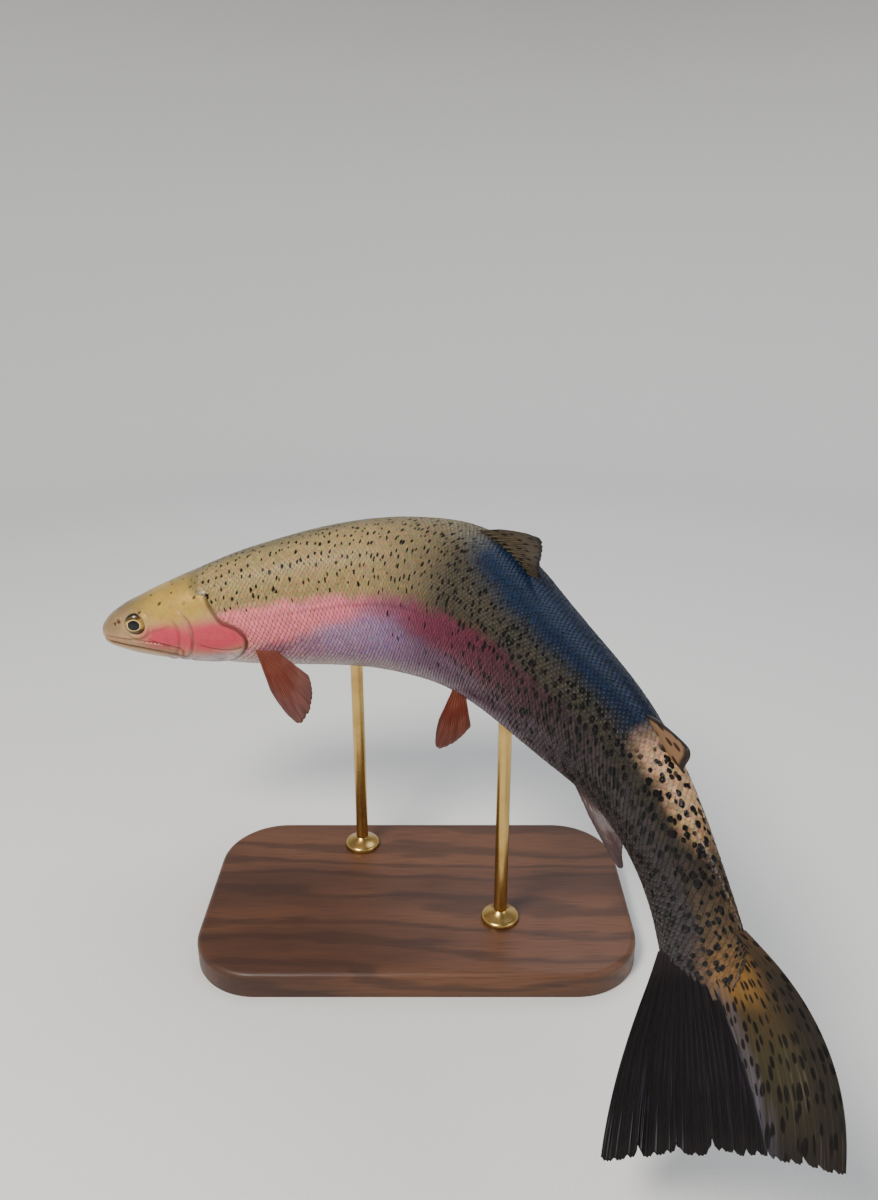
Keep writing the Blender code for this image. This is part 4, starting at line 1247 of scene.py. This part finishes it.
# %% Paint and set the eyes
f = eye_finish = Finish("glass_eye", Roughness=0.3, Specular_IOR_Level=0.1,
                        Coat_Weight=0.6, Coat_Roughness=0.02)
ex, ey = f.flat("Iris")
far = (ex * ex + ey * ey) ** 0.5
cloud = f.noise(f.place(), 700.0, 3.0)
spokes = f.noise(f.join(ey.maths("ARCTAN2", ex) * 7.0, far * 5.0), 1.0, 3.0)
gold = f.mix(spokes.rising(0.3, 0.7), tint(122, 92, 40), tint(196, 160, 84))
shaded = abs(ey) - abs(ex) * 0.35 + (cloud - 0.5) * 0.35
iris = f.mix(shaded.rising(0.05, 0.45) * 0.85, gold, tint(40, 30, 20))
pupil_far = ((ex + 0.04) ** 2 * 0.74 + ey * ey * 0.86) ** 0.5 - (ex * -1).rising(0.20, 0.50) * 0.05
iris = f.mix(abs(pupil_far - 0.47).rising(0.055, 0.015), iris, tint(226, 196, 120))
iris = f.mix(pupil_far.rising(0.455, 0.425), iris, tint(5, 6, 8))
iris = f.mix(far.rising(0.80, 0.92), iris, tint(28, 22, 18))
f.feed(Base_Color=iris)
eye_s = np.array(EYE_AT[0] / BODY_LENGTH)
tailward, up, left = axes_at(np.array(0.12))  # the head's axes, taken at its middle
for side, sign in (("left", 1), ("right", -1)):
    bm = bmesh.new()
    bmesh.ops.create_uvsphere(bm, u_segments=64, v_segments=40, radius=1)
    local = np.array([v.co[:] for v in bm.verts])
    centre = spine_at(np.array(0.0)) + tailward * EYE_AT[0] + up * EYE_AT[1]
    centre = centre + left * sign * (size_at(eye_s, 3) - EYE_SUNK)
    for vertex, (a, b, c) in zip(bm.verts, local):
        vertex.co = centre + EYE_RADIUS * (tailward * a + up * b) + left * sign * EYE_DEPTH * c
    mapped(bm, {"Iris": local[:, :2]})
    piece(f"glass_eye_{side}", bm, eye_finish.material, "eye", (f"eye_{side}",))

# %% [markdown]
# ## The stand
# The base is a walnut board with round corners and a softened rim, and each rod is turned brass with a
# foot. The board comes from a cube whose upright edges and then rim are bevelled, and the rods from a
# profile spun about their axis. They are the only parts of the model that aren't the fish.

# %% Plane the board
BASE_SIZE = (0.300, 0.170, 0.018)
BASE_CORNER, BASE_EDGE, BASE_FOOT_EDGE = 0.045, 0.004, 0.0008
f = walnut = Finish("walnut", Specular_IOR_Level=0.35, Coat_Weight=0.15, Coat_Roughness=0.30)
place = f.place()
warp = f.noise(f.scaled(place, 3.5, 20.0, 20.0), 1.0, 4.0)
x, y, z = f.split(place)
rings = ((y + z * 0.8) * 260.0 + warp * 26.0 + x * 5.0).maths("SINE")
fibres = f.noise(f.scaled(place, 40.0, 1500.0, 1500.0), 1.0, 2.0)
colour = f.mix(warp.rising(0.35, 0.65), tint(70, 41, 26), tint(100, 63, 40))
colour = f.mix(rings.rising(0.1, 1.0) * 0.55, colour, tint(48, 27, 17))
colour = f.mix(fibres.rising(0.45, 0.75) * 0.5, colour, tint(36, 20, 13))
f.feed(Base_Color=colour, Roughness=fibres * 0.2 + 0.42)
f.bumped(fibres, 0.00015, 0.5)


def rounded_off(bm, edges, offset, segments):
    bmesh.ops.bevel(bm, geom=edges, offset=offset, segments=segments,
                    profile=0.5, material=-1, affect="EDGES")


board_top = BASE_SIZE[2]
bm = bmesh.new()
bmesh.ops.create_cube(bm, size=1)
bmesh.ops.scale(bm, verts=bm.verts, vec=BASE_SIZE)
bmesh.ops.translate(bm, verts=bm.verts, vec=(0, 0, board_top / 2))
upright = [e for e in bm.edges if abs(e.verts[0].co.z - e.verts[1].co.z) > board_top / 2]
rounded_off(bm, upright, BASE_CORNER, 24)
rounded_off(bm, [e for e in bm.edges if min(v.co.z for v in e.verts) > board_top - 1e-6], BASE_EDGE, 8)
rounded_off(bm, [e for e in bm.edges if max(v.co.z for v in e.verts) < 1e-6], BASE_FOOT_EDGE, 2)
piece("walnut_board", bm, walnut.material, "stand_wood", ("stand_base",), sharp=30)

# %% Turn the rods
ROD_RADIUS, ROD_FOOT_RADIUS, ROD_FOOT_HEIGHT, ROD_INTO_BODY = 0.0045, 0.0130, 0.0050, 0.012
ROD_FOOT = (  # the turned foot's profile, as shares of its radius and height
    (0, 0), (0.96, 0), (1.0, 0.06), (1.0, 0.45), (0.97, 0.60), (0.90, 0.72), (0.72, 0.92), (0.60, 1.10),
)
f = brass = Finish("brass", Metallic=1.0)
place = f.place()
turning = f.noise(f.scaled(place, 60.0, 60.0, 2600.0), 1.0, 2.0)
patina = f.noise(place, 45.0, 4.0)
f.feed(Base_Color=f.mix(patina.rising(0.4, 0.75) * 0.5, tint(206, 172, 104), tint(150, 112, 60)),
       Roughness=patina * 0.14 + turning * 0.10 + 0.12)
f.bumped(turning, 0.00004, 0.5)
for side, station in (("front", 0.330), ("rear", 0.620)):
    belly = body_point(station, 0.5)
    foot, top = board_top + 0.0003, belly[2] + ROD_INTO_BODY
    profile = [(r * ROD_FOOT_RADIUS, foot + z * ROD_FOOT_HEIGHT) for r, z in ROD_FOOT]
    profile += [(ROD_RADIUS * r, foot + z * ROD_FOOT_HEIGHT) for r, z in ((1.25, 1.35), (1.0, 1.6))]
    profile += [(ROD_RADIUS, top), (0, top)]
    bm = bmesh.new()
    verts = [bm.verts.new((r, 0, z)) for r, z in profile]
    edges = [bm.edges.new(pair) for pair in zip(verts, verts[1:])]
    bmesh.ops.spin(bm, geom=verts + edges, cent=(0, 0, 0), axis=(0, 0, 1), dvec=(0, 0, 0), angle=2 * math.pi,
                   steps=48, use_merge=True)
    bmesh.ops.remove_doubles(bm, verts=bm.verts, dist=1e-6)
    bmesh.ops.translate(bm, verts=bm.verts, vec=(belly[0], belly[1], 0))
    piece(f"brass_rod_{side}", bm, brass.material, "stand_brass", (f"stand_rod_{side}",), sharp=35)

# %% [markdown]
# ## Compare the sizes
# The dressed model's box is set beside the solids' box, and the print gives how far each of its sides
# lies from theirs, in millimetres.

# %% Compare the boxes
fish_box = [list(corner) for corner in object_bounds()]
grown = [[round(1000 * (b - a), 2) for a, b in zip(*pair)] for pair in zip(cad_box, fish_box)]
print("grown by, in mm:", grown)
